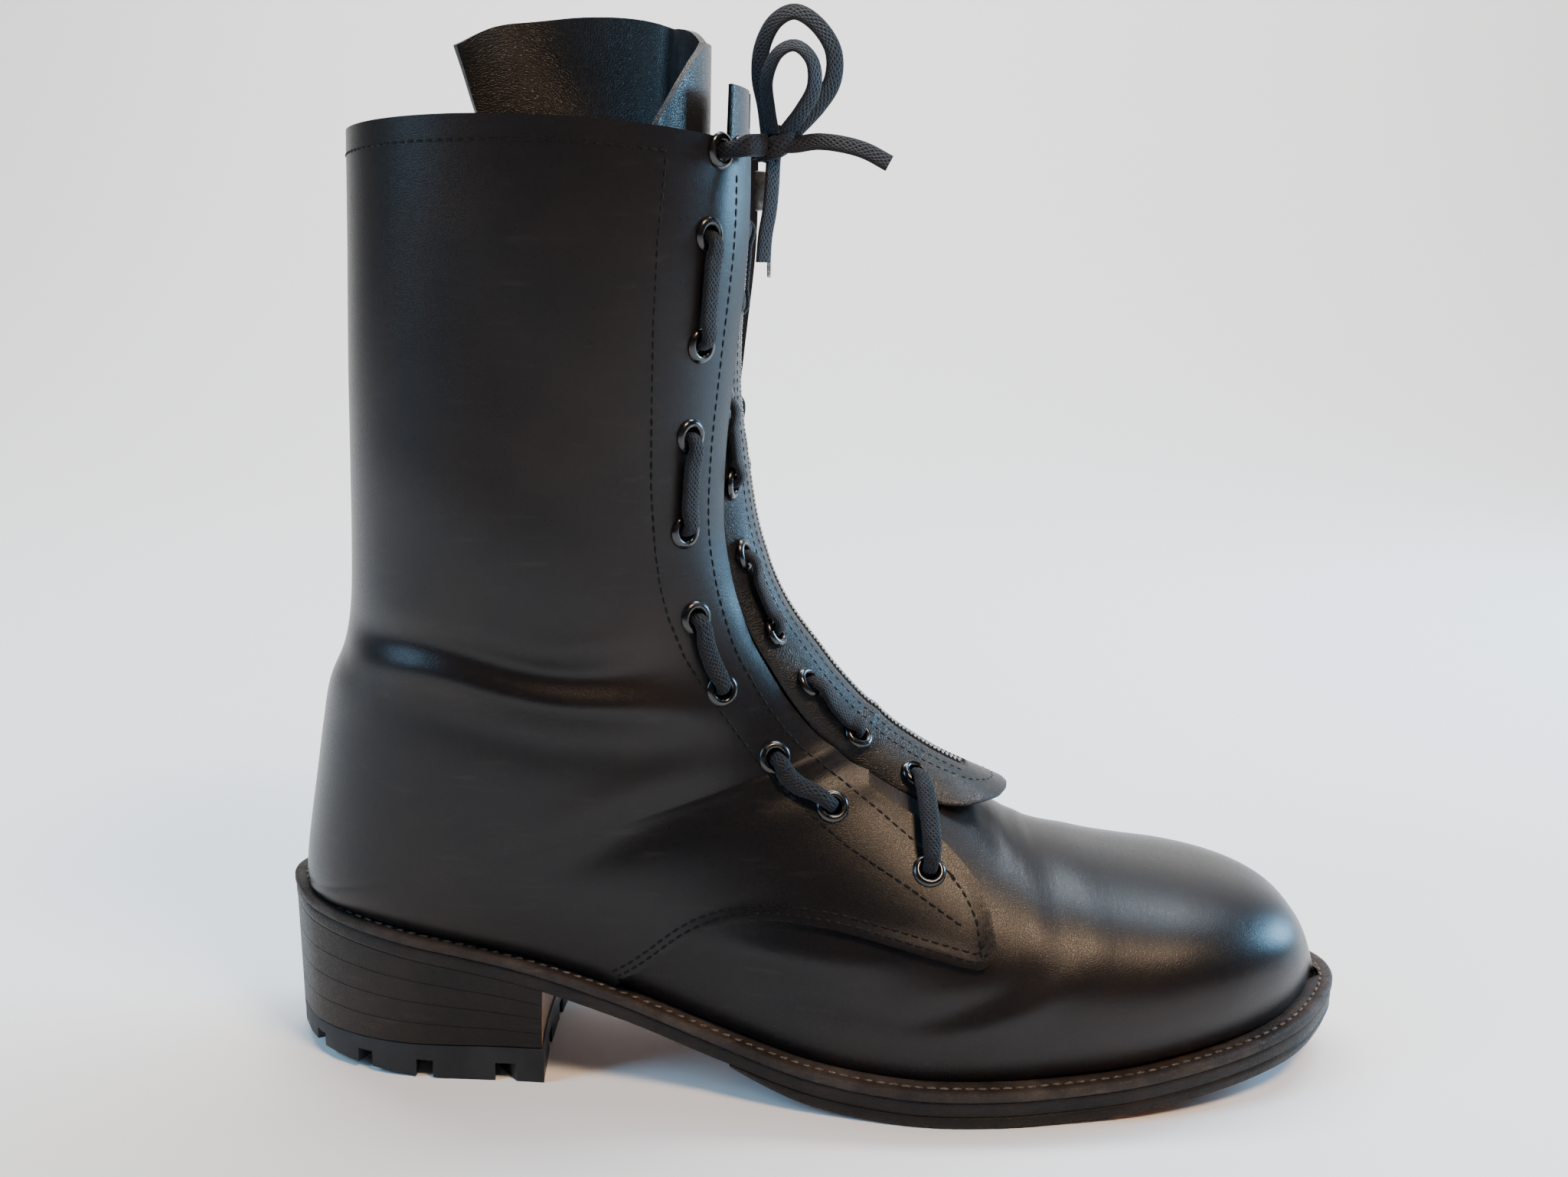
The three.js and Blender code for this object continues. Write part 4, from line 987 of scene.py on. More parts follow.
# Upper: black satin leather about 1.6 mm thick with a tan lining, pulled over the last and
# tucked under the welt. The quarter lies over the vamp with raw brown edges, sewn twice.
VAMP_WALL = 1.6
QUARTER_STEP = 1.2
EDGE_LIFT = 0.55
QUARTER_END_ROW = 25.0
SIDES = {"lateral": -1.0, "medial": 1.0}
THROAT_HALF = 19.5
THROAT_END_ROW = 18.95
RIM_BACK_DROP, RIM_BOW, RIM_DROP = 5.5, 5.5, 7.5


def rim_height(x):
    """The collar's rim in side view."""
    a, b, c = -20.0, along(0.27), 0.5 * LENGTH
    t = np.linspace(0, 1, 60)
    line_x = (1 - t) ** 2 * a + 2 * t * (1 - t) * b + t**2 * c
    line_z = (
        (1 - t) ** 2 * (COLLAR_HEIGHT - RIM_BACK_DROP)
        + 2 * t * (1 - t) * (COLLAR_HEIGHT + RIM_BOW)
        + t**2 * (COLLAR_HEIGHT - RIM_DROP)
    )
    return np.interp(x, line_x, line_z)


def search(low, high, steps, too_low):
    """Halves a range again and again round the place where too_low turns false."""
    for _ in range(steps):
        middle = (low + high) / 2
        below = too_low(middle)
        low, high = np.where(below, middle, low), np.where(below, high, middle)
    return low


def rim_row(v):
    """The row at which each column reaches the rim."""
    def over_rim(u):
        x, _, z = np.moveaxis(last(u, v), -1, 0)
        return z >= rim_height(x)

    return search(np.full(np.shape(v), -0.6), np.full(np.shape(v), 1.5), 22, over_rim)


def across_by(u, side, distance):
    """The v at which one side of a row stands a distance off the centre plane."""
    u, distance = np.broadcast_arrays(np.asarray(u, float), np.asarray(distance, float))
    side = np.broadcast_to(np.asarray(side, float), u.shape)
    near = lambda v: side * last(u, side * v)[..., 1] < distance
    return side * search(np.zeros(u.shape), np.full(u.shape, 0.5), 24, near)


def throat_edge(u, side):
    """The column of the throat's edge in each row."""
    held = np.minimum(u, THROAT_END_ROW)
    return np.abs(across_by(held, side, THROAT_HALF - 0.6))


CROWN_SHARE = 0.26


def wall_v(u, round_):
    """Columns that run up to the throat's edge, and over the crown between its edges."""
    s = 2 * round_ - 1
    side = np.where(s < 0, -1.0, 1.0)
    at = throat_edge(u, side)
    size = np.abs(s)
    crown = at * size / CROWN_SHARE
    wall = at + (1 - at) * (size - CROWN_SHARE) / (1 - CROWN_SHARE)
    return side * np.where(size <= CROWN_SHARE, crown, wall)


def thicken(piece, wall):
    """Gives a sheet its wall, with its second material inside and its third on the edges."""
    apply_modifier(
        piece, "SOLIDIFY", thickness=wall * MM, offset=-1, use_even_offset=False,
        material_offset=1, material_offset_rim=2,
    )


def vamp_shell():
    rows, columns = 210, 150

    def place(down, round_):
        top = rim_row(wall_v(np.full(down.shape, 0.2), round_))
        u = top + (TOE_ROW - top) * down
        v = wall_v(u, round_)
        point = skin(u, v, np.zeros(u.shape))
        tucked = (u > FIRST_FOOT_ROW) & (np.abs(v) > 0.999)
        point[tucked, 2] -= 0.2
        return point

    piece = bend_grid("vamp_and_lining", rows, columns, place)
    count = columns + 1

    def in_throat(face):
        numbers = [v.index for v in face.verts]
        aside = abs(2 * sum(n % count / columns for n in numbers) / 4 - 1)
        down = 1 - sum(n // count / rows for n in numbers) / 4
        return aside < CROWN_SHARE and down < THROAT_END_ROW / TOE_ROW

    with opened(piece.data) as shape:
        throat = [face for face in shape.faces if in_throat(face)]
        bmesh.ops.delete(shape, geom=throat, context="FACES")
    in_edit(piece, weld)
    thicken(piece, VAMP_WALL)
    smooth(piece, 60)
    return piece


QUARTER_SEAM = np.array([
    (0.327, 0.317), (0.35, 0.37), (0.39, 0.476), (0.424, 0.523), (0.46, 0.538), (0.51, 0.523),
    (0.56, 0.492), (0.6, 0.463), (0.636, 0.438),
]) * [LENGTH, INSTEP_TOP]
QUARTER_TIP = np.array([(0.648, 0.445), (0.657, 0.48), (0.655, 0.53)]) * [LENGTH, INSTEP_TOP]
QUARTER_FRONT = np.array([
    (0.652, 0.571), (0.641, 0.634), (0.625, 0.69), (0.59, 0.782), (0.568, 0.82), (0.546, 0.867),
]) * [LENGTH, INSTEP_TOP]


def quarter_line():
    """The quarter's cut edge in side view: up its seam, round its tip and up to the facing."""
    low = [(0.313 * LENGTH, -5), (0.314 * LENGTH, 0.2 * INSTEP_TOP)]
    line = side_line(np.vstack([low, QUARTER_SEAM, QUARTER_TIP, QUARTER_FRONT]))
    return np.vstack([line, (line[-1, 0], INSTEP_TOP * 1.3)])


def within(points, ring):
    """Which points lie inside a closed line."""
    x, y = points.T
    found = np.zeros(len(points), bool)
    for (x0, y0), (x1, y1) in zip(ring, np.roll(ring, -1, 0)):
        if y0 != y1:
            found ^= ((y0 > y) != (y1 > y)) & (x < (x1 - x0) * (y - y0) / (y1 - y0) + x0)
    return found


SIGHT_FROM = 120.0


def from_side(tree, x, z, side):
    """Where a line of sight straight at one side meets a piece: its place and normal."""
    start = Vector((x + FROM_HEEL[0], side * SIGHT_FROM, z)) * MM
    return tree.ray_cast(start, Vector((0, -side, 0)))[:2]


def trim(sheet, line):
    """Cuts a sheet off along a line in side view: what is past it goes, the rest meets it."""
    tree = BVHTree.FromObject(sheet, bpy.context.evaluated_depsgraph_get())
    flat = points_in(sheet)[:, [0, 2]]
    high = COLLAR_HEIGHT * 1.3
    behind = [(LENGTH, line[-1, 1]), (LENGTH, high), (-20, high), (-20, -5)]
    kept = within(flat, np.vstack([line, behind]))
    meet = nearest_on(flat, line)[0]
    with opened(sheet.data) as shape:
        gone = [f for f in shape.faces if not any(kept[v.index] for v in f.verts)]
        moved = [(v, *meet[v.index]) for v in shape.verts if not kept[v.index]]
        bmesh.ops.delete(shape, geom=gone, context="FACES")
        for vert, x, z in moved:
            if vert.is_valid:
                place = from_side(tree, x, z, 1 if vert.co.y > 0 else -1)[0]
                vert.co = place or ((x + FROM_HEEL[0]) * MM, vert.co.y, z * MM)
    in_edit(sheet, lambda: bpy.ops.mesh.dissolve_degenerate(threshold=1e-5))


def ease_heel(sheet):
    """Smooths the leather low round the heel, where the shaft's rows meet the foot's."""
    x, _, z = points_in(sheet).T
    above = z - welt_top(x)
    weight = grow(above, 0.3, 2.8) * grow(above, 45, 25) * grow(x, 70, 45)
    group = sheet.vertex_groups.new(name="heel")
    for number in np.flatnonzero(weight):
        group.add([int(number)], float(weight[number]), "REPLACE")
    apply_modifier(sheet, "SMOOTH", factor=0.5, iterations=30, vertex_group="heel")
    sheet.vertex_groups.clear()


def quarter_shell():
    """One sheet from the outer facing round the back to the inner facing."""
    sides = []
    line = quarter_line()
    for side in SIDES.values():

        def place(down, round_, side=side):
            share = round_ if side > 0 else 1 - round_
            at = throat_edge(np.full(down.shape, 0.2), side)
            top = rim_row(side * (1 - (1 - at) * share))
            u = top + (QUARTER_END_ROW - top) * down
            v = side * (1 - (1 - throat_edge(u, side)) * share)
            off = nearest_on(last(u, v)[:, [0, 2]], line)[1]
            return skin(u, v, QUARTER_STEP + EDGE_LIFT * np.exp(-((off / 2.4) ** 2)))

        sides.append(bend_grid(f"quarter_{side:.0f}", 200, 80, place))
        turn_out(sides[-1])
    shell = join("quarters", sides)
    in_edit(shell, weld)
    ease_heel(shell)
    trim(shell, line)
    thicken(shell, QUARTER_STEP - 0.05)
    smooth(shell, 38)
    return shell


def turn_out(piece):
    """Turns a sheet's faces away from the middle of the boot, if they look inwards."""
    centre, normal = (read(piece.data.polygons, kind)[:, 1] for kind in ("center", "normal"))
    if (centre * normal).sum() < 0:
        in_edit(piece, lambda: bpy.ops.mesh.flip_normals())


BLACK_LEATHER = leather(
    "black_satin_leather",
    ((0.003, 0.003, 0.004), (0.006, 0.005, 0.0055), (0.013, 0.009, 0.0075), (0.016, 0.014, 0.013)),
    (0.27, 0.4), grain=1700.0, mottle=16.0, bump=0.14, crease=5.0, Specular_IOR_Level=0.24,
)
RAW_EDGE = leather(
    "raw_edge",
    ((0.03, 0.017, 0.012), (0.085, 0.046, 0.033), (0.17, 0.1, 0.07), (0.02, 0.012, 0.01)),
    (0.7, 0.9), grain=2200.0, mottle=300.0, bump=0.6,
)
LINING = leather(
    "flesh_side",
    ((0.012, 0.01, 0.01), (0.02, 0.016, 0.015), (0.035, 0.026, 0.022), (0.04, 0.03, 0.026)),
    (0.75, 0.95), grain=1200.0, mottle=60.0, bump=0.7,
)
vamp = vamp_shell()


def keep_index(piece, made):
    """Puts materials in without touching which face has which."""
    index = np.empty(len(piece.data.polygons), np.int32)
    piece.data.polygons.foreach_get("material_index", index)
    give(piece, made)
    piece.data.polygons.foreach_set("material_index", index)


keep_index(vamp, [BLACK_LEATHER, LINING, RAW_EDGE])
quarters = quarter_shell()
keep_index(quarters, [BLACK_LEATHER, LINING, RAW_EDGE])
finish(vamp, "black_leather", "upper")
finish(quarters, "black_leather")

# Eyelets: ten a side down the facings and ten a side on the zip panel, rolled brass washers
# with gloss black enamel, pressed through the leather.
EYE = np.array([
    (0.15, -1.5, 0.1), (0.95, 1.5, 0.75), (1.9, 0, 1.65), (2.8, 0, 2.5), (4, 0, 3.5),
    (5.8, 0, 4.7), (8.1, 0, 7), (11, -1.5, 8.9), (16.4, 0, 12.6), (19.6, 3, 17.4),
])
FACING_INSET = 15.0
PANEL_EYELET = 12.4
PANEL_HALF = 17.6
PANEL = 2.0
PANEL_ROWS = np.array([
    (-0.32, -5.5, 1.5), (0.5, -5.4, 2), (1.5, -5, 2.5), (2.4, -3, 4), (3.1, 0.3, 5),
    (3.8, 2.6, 6), (4.7, 4, 6.5), (5.8, 4.6, 6.5), (7, 5.2, 6.5), (8.2, 5.4, 6.5),
    (9.4, 4.8, 6.5), (11, 3.4, 6.5), (13, 2.4, 6.5), (15.4, 2, 6.5), (17, 2.2, 6.2),
    (18.2, 3, 5), (19.1, 4, 3.5), (19.8, 4.9, 2), (20.3, 5.4, 1),
])
panel_crown = through(PANEL_ROWS[:, 0], PANEL_ROWS[:, 1])
panel_arch = through(PANEL_ROWS[:, 0], PANEL_ROWS[:, 2])


def bare(u, v, rise):
    """The last's face off by a height, without folds."""
    return last(u, v) + outward(u, v) * np.asarray(rise, float)[..., None]


def panel_v(u, off):
    """The column at which the panel stands a distance off its own middle."""
    side = np.where(off < 0, -1.0, 1.0)
    swing = last(u, np.zeros(np.shape(u)))[..., 1]
    found = across_by(u, side, np.abs(off) + side * swing)
    return np.where(np.abs(off) < 1e-6, 0, found)


def panel_point(u, off, rise):
    """The panel's face at rows u and a distance off its middle, raised by a height."""
    u, off, rise = np.broadcast_arrays(*(np.asarray(a, float) for a in (u, off, rise)))
    up = panel_crown(u) - panel_arch(u) * (off / PANEL_HALF) ** 2 + rise
    return bare(u, panel_v(u, off), up)


def behind_throat(u, side, distance):
    """The v that lies a way behind the throat's edge, measured along the leather."""
    u, distance = np.broadcast_arrays(np.asarray(u, float), np.asarray(distance, float))
    start = np.abs(across_by(u, side, THROAT_HALF))
    steps = np.linspace(0, 0.5, 260)
    v = np.minimum(start[..., None] + steps, 1)
    points = last(np.broadcast_to(u[..., None], v.shape), side * v)
    length = np.linalg.norm(np.diff(points, axis=-2), axis=-1)
    gone = np.concatenate([np.zeros((*u.shape, 1)), np.cumsum(length, -1)], -1)
    flat_gone, flat_v = gone.reshape(-1, gone.shape[-1]), v.reshape(-1, v.shape[-1])
    found = [np.interp(d, g, w) for d, g, w in zip(distance.ravel(), flat_gone, flat_v)]
    return side * np.array(found).reshape(u.shape)


def set_copies(name, model, origins, alongs, ways):
    """Copies of a small model as one piece: along is its X and way its Z, at points in mm."""
    co = read(model.data.vertices, "co")
    faces = [tuple(p.vertices) for p in model.data.polygons]
    bpy.data.objects.remove(model)
    way = unit(np.asarray(ways, float))
    ahead = np.asarray(alongs, float)
    ahead = unit(ahead - way * (ahead * way).sum(1, keepdims=True))
    axes = np.stack([ahead, np.cross(way, ahead), way], 1)
    points = np.asarray(origins)[:, None, :] + np.einsum("ij,njk->nik", co, axes)
    mesh = bpy.data.meshes.new(name)
    count = len(co)
    mesh.from_pydata(
        ((points + FROM_HEEL) * MM).reshape(-1, 3),
        [],
        [tuple(i + k * count for i in f) for k in range(len(points)) for f in faces],
    )
    piece = stand(name, mesh)
    smooth(piece, 45)
    return piece


def eyelet_model():
    """A rolled washer with its barrel, turned from its section."""
    profile = [
        (2.45, -2.6), (2.3, 0.1), (2.45, 0.55), (2.8, 0.85), (3.3, 0.95), (3.9, 0.75),
        (4.35, 0.35), (4.5, 0.0), (4.3, -0.3), (2.75, -0.3), (2.75, -2.6),
    ]
    count = 28
    turn = np.arange(count) / count * math.tau
    mesh = bpy.data.meshes.new("eyelet_model")
    with opened(mesh) as shape:
        rings = [
            [shape.verts.new((r * math.cos(a), r * math.sin(a), h)) for a in turn]
            for r, h in profile
        ]
        for a, b in zip(rings, rings[1:] + rings[:1]):
            for j in range(count):
                shape.faces.new((a[j], a[(j + 1) % count], b[(j + 1) % count], b[j]))
        bmesh.ops.recalc_face_normals(shape, faces=shape.faces)
    return stand("eyelet_model", mesh)


def enamel_material():
    made, add, put = new_material("black_enamel_gloss", Coat_Weight=0.15, Coat_Roughness=0.1)
    rubbed = noise(add, object_place(add), 420.0, 5.0)
    put(
        Base_Color=ramp(add, rubbed, [(0.6, (0.003, 0.003, 0.004)), (0.85, (0.025, 0.022, 0.018))]),
        Roughness=greys(add, rubbed, (0.4, 0.16), (0.75, 0.4)),
    )
    return made


ENAMEL = enamel_material()
HOLE = 2.62


def facing_seats(side):
    v = behind_throat(EYE[:, 0], side, FACING_INSET + EYE[:, 1])
    return EYE[:, 0], v


def facing_at(side, rise):
    """Where the facing's eyelets sit, raised off the leather by a height."""
    u, v = facing_seats(side)
    return skin(u, v, np.full(u.shape, QUARTER_STEP + rise))


def panel_at(side, rise):
    """Where the panel's eyelets sit, raised off the leather by a height."""
    return panel_point(EYE[:, 2], side * PANEL_EYELET, PANEL + rise)


def eyelets(name, at, rise, ways, *nodes):
    upright = np.tile([0, 0, 1.0], (len(ways), 1))
    rings = set_copies(name, eyelet_model(), at(rise), upright, ways)
    paint(rings, [ENAMEL])
    finish(rings, "black_enamel", *nodes)


for word, side in SIDES.items():
    facing = lambda rise: facing_at(side, rise)
    on_panel = lambda rise: panel_at(side, rise)
    nodes = [f"eyelet_{word}_{i + 1}" for i in range(len(EYE))]
    eyelets(f"facing_rings_{word}", facing, 0.12, outward(*facing_seats(side)), *nodes)
    eyelets(f"panel_rings_{word}", on_panel, 0.05, on_panel(1) - on_panel(0))


def punch(piece, seats):
    """Holes through a piece under its eyelets."""
    cutters = []
    for side in SIDES.values():
        for a, b in zip(seats(side, -6), seats(side, 3)):
            way = unit(b - a)
            aside = unit(np.cross(way, [0.3, 1, 0.2]))
            up = np.cross(way, aside)
            turn = np.arange(14)[:, None] / 14 * math.tau
            circle = HOLE * (np.cos(turn) * aside + np.sin(turn) * up)
            cutters.append(stack_rings("punch", [a + circle, b + circle], False))
    tool = join("punch", cutters)
    give(tool, piece.data.materials)
    last_slot = len(piece.data.materials) - 1
    tool.data.polygons.foreach_set(
        "material_index", np.full(len(tool.data.polygons), last_slot, np.int32)
    )
    apply_modifier(piece, "BOOLEAN", operation="DIFFERENCE", object=tool, solver="EXACT")
    bpy.data.objects.remove(tool)
    smooth(piece, 38)


punch(vamp, facing_at)
punch(quarters, facing_at)

# Zip panel: two strips of thinner black leather sewn to the tapes of a coil zip, laced in
# between the facings, with a rounded end over the vamp.
PANEL_TOP = -0.56
PANEL_END = 20.42
SLOT_HALF = 2.9
SLOT_END = 19.0
ROUND_FROM = 18.5
SCALED_FROM = 4.2


def panel_width(u):
    rounded = grow(u, ROUND_FROM, PANEL_END)
    return PANEL_HALF * np.maximum(1 - rounded**3, 0.002) ** (1 / 2.1)


def panel_sheet():
    offsets = np.array([
        0, 1.2, 2.3, SLOT_HALF - 0.1, SLOT_HALF + 0.1, 3.4, 4.2, 5, 6, 7, 8, 9, 10, 11, 12, 13,
        14, 15, 16, 16.8, 17.3, PANEL_HALF,
    ])
    offsets = np.concatenate([-offsets[:0:-1], offsets])
    columns = len(offsets) - 1

    def place(down, round_):
        u = PANEL_TOP + (PANEL_END - PANEL_TOP) * (1 - (1 - down) ** 1.12)
        off = offsets[np.rint(round_ * columns).astype(int)]
        size = np.abs(off)
        width = panel_width(u)
        stretch = (width - SCALED_FROM) / (PANEL_HALF - SCALED_FROM)
        scaled = np.where(size > SCALED_FROM, SCALED_FROM + (size - SCALED_FROM) * stretch, size)
        scaled = np.minimum(np.where(width < 5, size * width / PANEL_HALF, scaled), width)
        slot = (size < SLOT_HALF) & (u < SLOT_END)
        rise = PANEL - 1.2 * slot
        hem = grow(size, PANEL_HALF - 0.8, PANEL_HALF)
        return panel_point(u, np.sign(off) * scaled, rise - 0.35 * hem**2)

    piece = bend_grid("panel_leather", 240, columns, place)
    thicken(piece, 1.5)
    return piece


SOFT_BLACK = leather(
    "soft_black_leather",
    ((0.003, 0.003, 0.004), (0.006, 0.006, 0.007), (0.012, 0.011, 0.011), (0.02, 0.02, 0.021)),
    (0.3, 0.46), grain=1500.0, mottle=30.0, bump=0.35, Specular_IOR_Level=0.3,
)
panel = panel_sheet()
keep_index(panel, [SOFT_BLACK, LINING, RAW_EDGE])
punch(panel, panel_at)
finish(panel, "black_leather", "zip_panel")


def zip_tape():
    def place(down, round_):
        u = -0.3 + 19.3 * down
        off = (round_ - 0.5) * 2 * (SLOT_HALF + 0.5)
        return panel_point(u, off, PANEL - 0.85)

    piece = bend_grid("zip_tape", 200, 6, place)
    apply_modifier(piece, "SOLIDIFY", thickness=0.4 * MM, offset=-1)
    smooth(piece, 60)
    return piece


def tape_material():
    made, add, put = new_material("zip_tape_weave", Roughness=0.85)
    weave = add(
        "ShaderNodeTexWave", {"Vector": object_place(add), "Scale": 700.0, "Distortion": 1.5},
        bands_direction="Z",
    ).outputs["Fac"]
    put(
        Base_Color=ramp(add, weave, [(0, (0.004, 0.004, 0.005)), (1, (0.02, 0.02, 0.023))]),
        Normal=relief(add, weave, 0.4, 0.0002),
    )
    return made


def metal_material():
    made, add, put = new_material("zip_gunmetal", Metallic=0.95)
    rubbed = noise(add, object_place(add), 600.0, 4.0)
    put(
        Base_Color=ramp(add, rubbed, [(0.3, (0.12, 0.12, 0.125)), (0.75, (0.42, 0.41, 0.4))]),
        Roughness=greys(add, rubbed, (0.3, 0.42), (0.7, 0.25)),
    )
    return made


GUNMETAL = metal_material()
tape = zip_tape()
paint(tape, [tape_material()])
finish(tape, "black_leather")


def zip_line(spacing, rise):
    """Points, directions and ways down the panel's middle at an even spacing."""
    fine = np.linspace(-0.2, 18.95, 1600)
    points = panel_point(fine, 0, rise)
    gone = gone_along(points)
    u = np.interp(np.arange(1, gone[-1] - 1, spacing), gone, fine)
    points = panel_point(u, 0, rise)
    ways = panel_point(u, 0, rise + 1) - points
    return points, np.gradient(points, axis=0), ways


def tooth_model():
    model = simple(bpy.ops.mesh.primitive_cube_add, size=1)

    def shape():
        bpy.ops.transform.resize(value=(0.62, 2.1, 0.85))
        bpy.ops.mesh.bevel(offset=0.16, segments=1, affect="EDGES")

    in_edit(model, shape)
    return model


TOOTH_PITCH = 1.3
TOOTH_ASIDE = 0.75
teeth_rows = []
for hand in (-1, 1):
    points, alongs, ways = zip_line(TOOTH_PITCH, PANEL - 0.35)
    across = unit(np.cross(unit(ways), unit(alongs)))
    points = points + across * hand * TOOTH_ASIDE + unit(alongs) * (TOOTH_PITCH / 4 * hand)
    teeth_rows.append(set_copies("teeth", tooth_model(), points, alongs, ways))
teeth = join("zip_teeth_rows", teeth_rows)
paint(teeth, [GUNMETAL])
finish(teeth, "zip_metal", "zip_teeth")
for node, name, round_, body in (
    ("zip_slider", "zip_slider_body", 0.35, "boot"), ("pull_tab", "zip_pull_tab", 0.22, "pull_tab")
):
    metal = copy_of_node(node, name, round_)
    paint(metal, [GUNMETAL])
    finish(metal, "zip_metal", node, body=body)

# Tongue: one wide sheet of soft black leather, flesh side in, sewn in at the vamp. Its inner
# corner stands above the collar in soft waves.
TONGUE = 1.8
TONGUE_TOP = np.array([
    (-0.05, -0.98), (0, -1.01), (0.1, -1.1), (0.2, -1.27), (0.3, -1.36), (0.4, -1.45),
    (0.5, -1.465), (0.6, -1.335), (0.68, -1.215), (0.77, -1.01),
])
TONGUE_ROWS = np.array([
    (-1.5, -14, -3, 0.04, 0.79), (-1.1, -14, -3, 0.04, 0.77), (-0.75, -14, -3, 0.13, 0.74),
    (-0.35, -14, -3.3, 0.21, 0.71), (0, -14, -3.6, 0.26, 0.68), (0.6, -13.5, -4, 0.28, 0.6),
    (1.5, -13, -4, 0.29, 0.48), (2.6, -12, -4, 0.29, 0.38), (3.7, -9.5, -4, 0.29, 0.32),
    (4.7, -8.5, -4.2, 0.29, 0.3),
    (5.8, -8, -4.6, 0.28, 0.29), (7, -8, -5, 0.27, 0.28), (8.6, -8, -5.4, 0.26, 0.27),
    (10.5, -8.5, -6, 0.24, 0.25), (13, -9.5, -7, 0.2, 0.21), (15.5, -9.5, -7.4, 0.17, 0.18),
    (17.4, -9, -7, 0.15, 0.16), (18.6, -5.6, -5, 0.13, 0.14), (19.3, -2.3, -2.4, 0.12, 0.13),
    (20.3, -2.2, -2.3, 0.1, 0.11),
])


def tongue_sheet():
    crown, edge, outer, inner = (
        through(TONGUE_ROWS[:, 0], TONGUE_ROWS[:, k]) for k in (1, 2, 3, 4)
    )
    top_row = through(TONGUE_TOP[:, 0], TONGUE_TOP[:, 1])

    def place(down, round_):
        share = 2 * round_ - 1
        reach = np.where(share < 0, *TONGUE_ROWS[0, 3:] - [0, 0.02])
        top = top_row(share * reach) + 0.012 * np.sin(share * 21.0)
        u = top + (TONGUE_ROWS[-1, 0] - top) * down**1.15
        v = share * np.where(share < 0, outer(u), inner(u))
        t = grow(np.abs(v), 0.24, 0.36)
        aside = t * t * (3 - 2 * t)
        fall = crown(u) + (edge(u) - crown(u)) * aside
        loose = grow(u, 0.6, -1.1)
        ripple = 0.9 * loose * np.sin(share * 13.0 + u * 1.7)
        return bare(u, v, fall + ripple * np.clip(v * 4, 0, 1))

    piece = bend_grid("soft_tongue", 150, 90, place)
    thicken(piece, TONGUE)
    smooth(piece, 60)
    return piece


SUEDE = leather(
    "black_flesh_side",
    ((0.003, 0.003, 0.003), (0.006, 0.006, 0.006), (0.012, 0.011, 0.01), (0.02, 0.017, 0.015)),
    (0.8, 0.98), grain=1100.0, mottle=70.0, bump=0.9, Sheen_Weight=0.15,
)
tongue = tongue_sheet()
keep_index(tongue, [SOFT_BLACK, SUEDE, RAW_EDGE])
finish(tongue, "black_leather", "tongue")

# Laces: one flat braid a side joins the facing to the panel. It lies over pairs of eyelets
# and across the lowest, and crosses underneath between the pairs.
BAR_PAIRS = [(8, 7), (6, 5), (4, 3), (2, 1)]


def padded(values):
    """The values with the first and the last three times more."""
    return np.concatenate([np.repeat(values[:1], 3, 0), values, np.repeat(values[-1:], 3, 0)])


def bar_line(side, a, b, kind):
    """A bar of lace out of one eyelet and into the next, and its normals."""
    t = np.linspace(0, 1, 33)
    none = np.zeros(t.shape)
    step = lambda values: values[a] + (values[b] - values[a]) * t
    if kind == "facing":
        u, v = (step(values) for values in facing_seats(side))
        at = lambda rise: skin(u, v, QUARTER_STEP + rise)
        ways = outward(u, v)
    else:
        at = lambda rise: panel_point(step(EYE[:, 2]), side * PANEL_EYELET, PANEL + rise)
        ways = unit(at(none + 1) - at(none))
    gone = np.minimum(t, 1 - t) * gone_along(at(none))[-1]
    line = at(np.interp(gone, [0, 0.9, 2.2, 3.6, 6.5], [0.5, 1.9, 2.55, 2.5, 1.75]))
    widths = np.interp(gone, [0, 2.0, 5.0], [3.9, 4.4, 5.3])
    chord = unit(line[-1] - line[0])
    down = np.array([3.6, 2.2, 1.0])[:, None]
    line = np.vstack([line[0] - ways[0] * down, line, line[-1] - ways[-1] * down[::-1]])
    return line, np.cross(chord, padded(ways)), np.concatenate([[3.7] * 3, widths, [3.7] * 3])


def between(start, end, way, lift_by, widths=(3.9, 5.6), waypoint=None):
    """A stretch of lace that arches from start to end, or passes a place on its way."""
    t = np.linspace(0, 1, 25)[:, None]
    line = start + (end - start) * t
    gone = np.minimum(t, 1 - t)[:, 0]
    if waypoint is not None:
        line = spread([start, waypoint, end], np.linalg.norm(end - start) / 24)
        gone = np.full(len(line), 0.3)
    arch = np.interp(gone, [0, 0.08, 0.25, 0.5], [0, 0.6, 0.92, 1])
    line = line + way * arch[:, None] * lift_by
    across = np.tile(np.cross(unit(end - start), way), (len(line), 1))
    return line, across, np.interp(gone, [0, 0.2], widths)


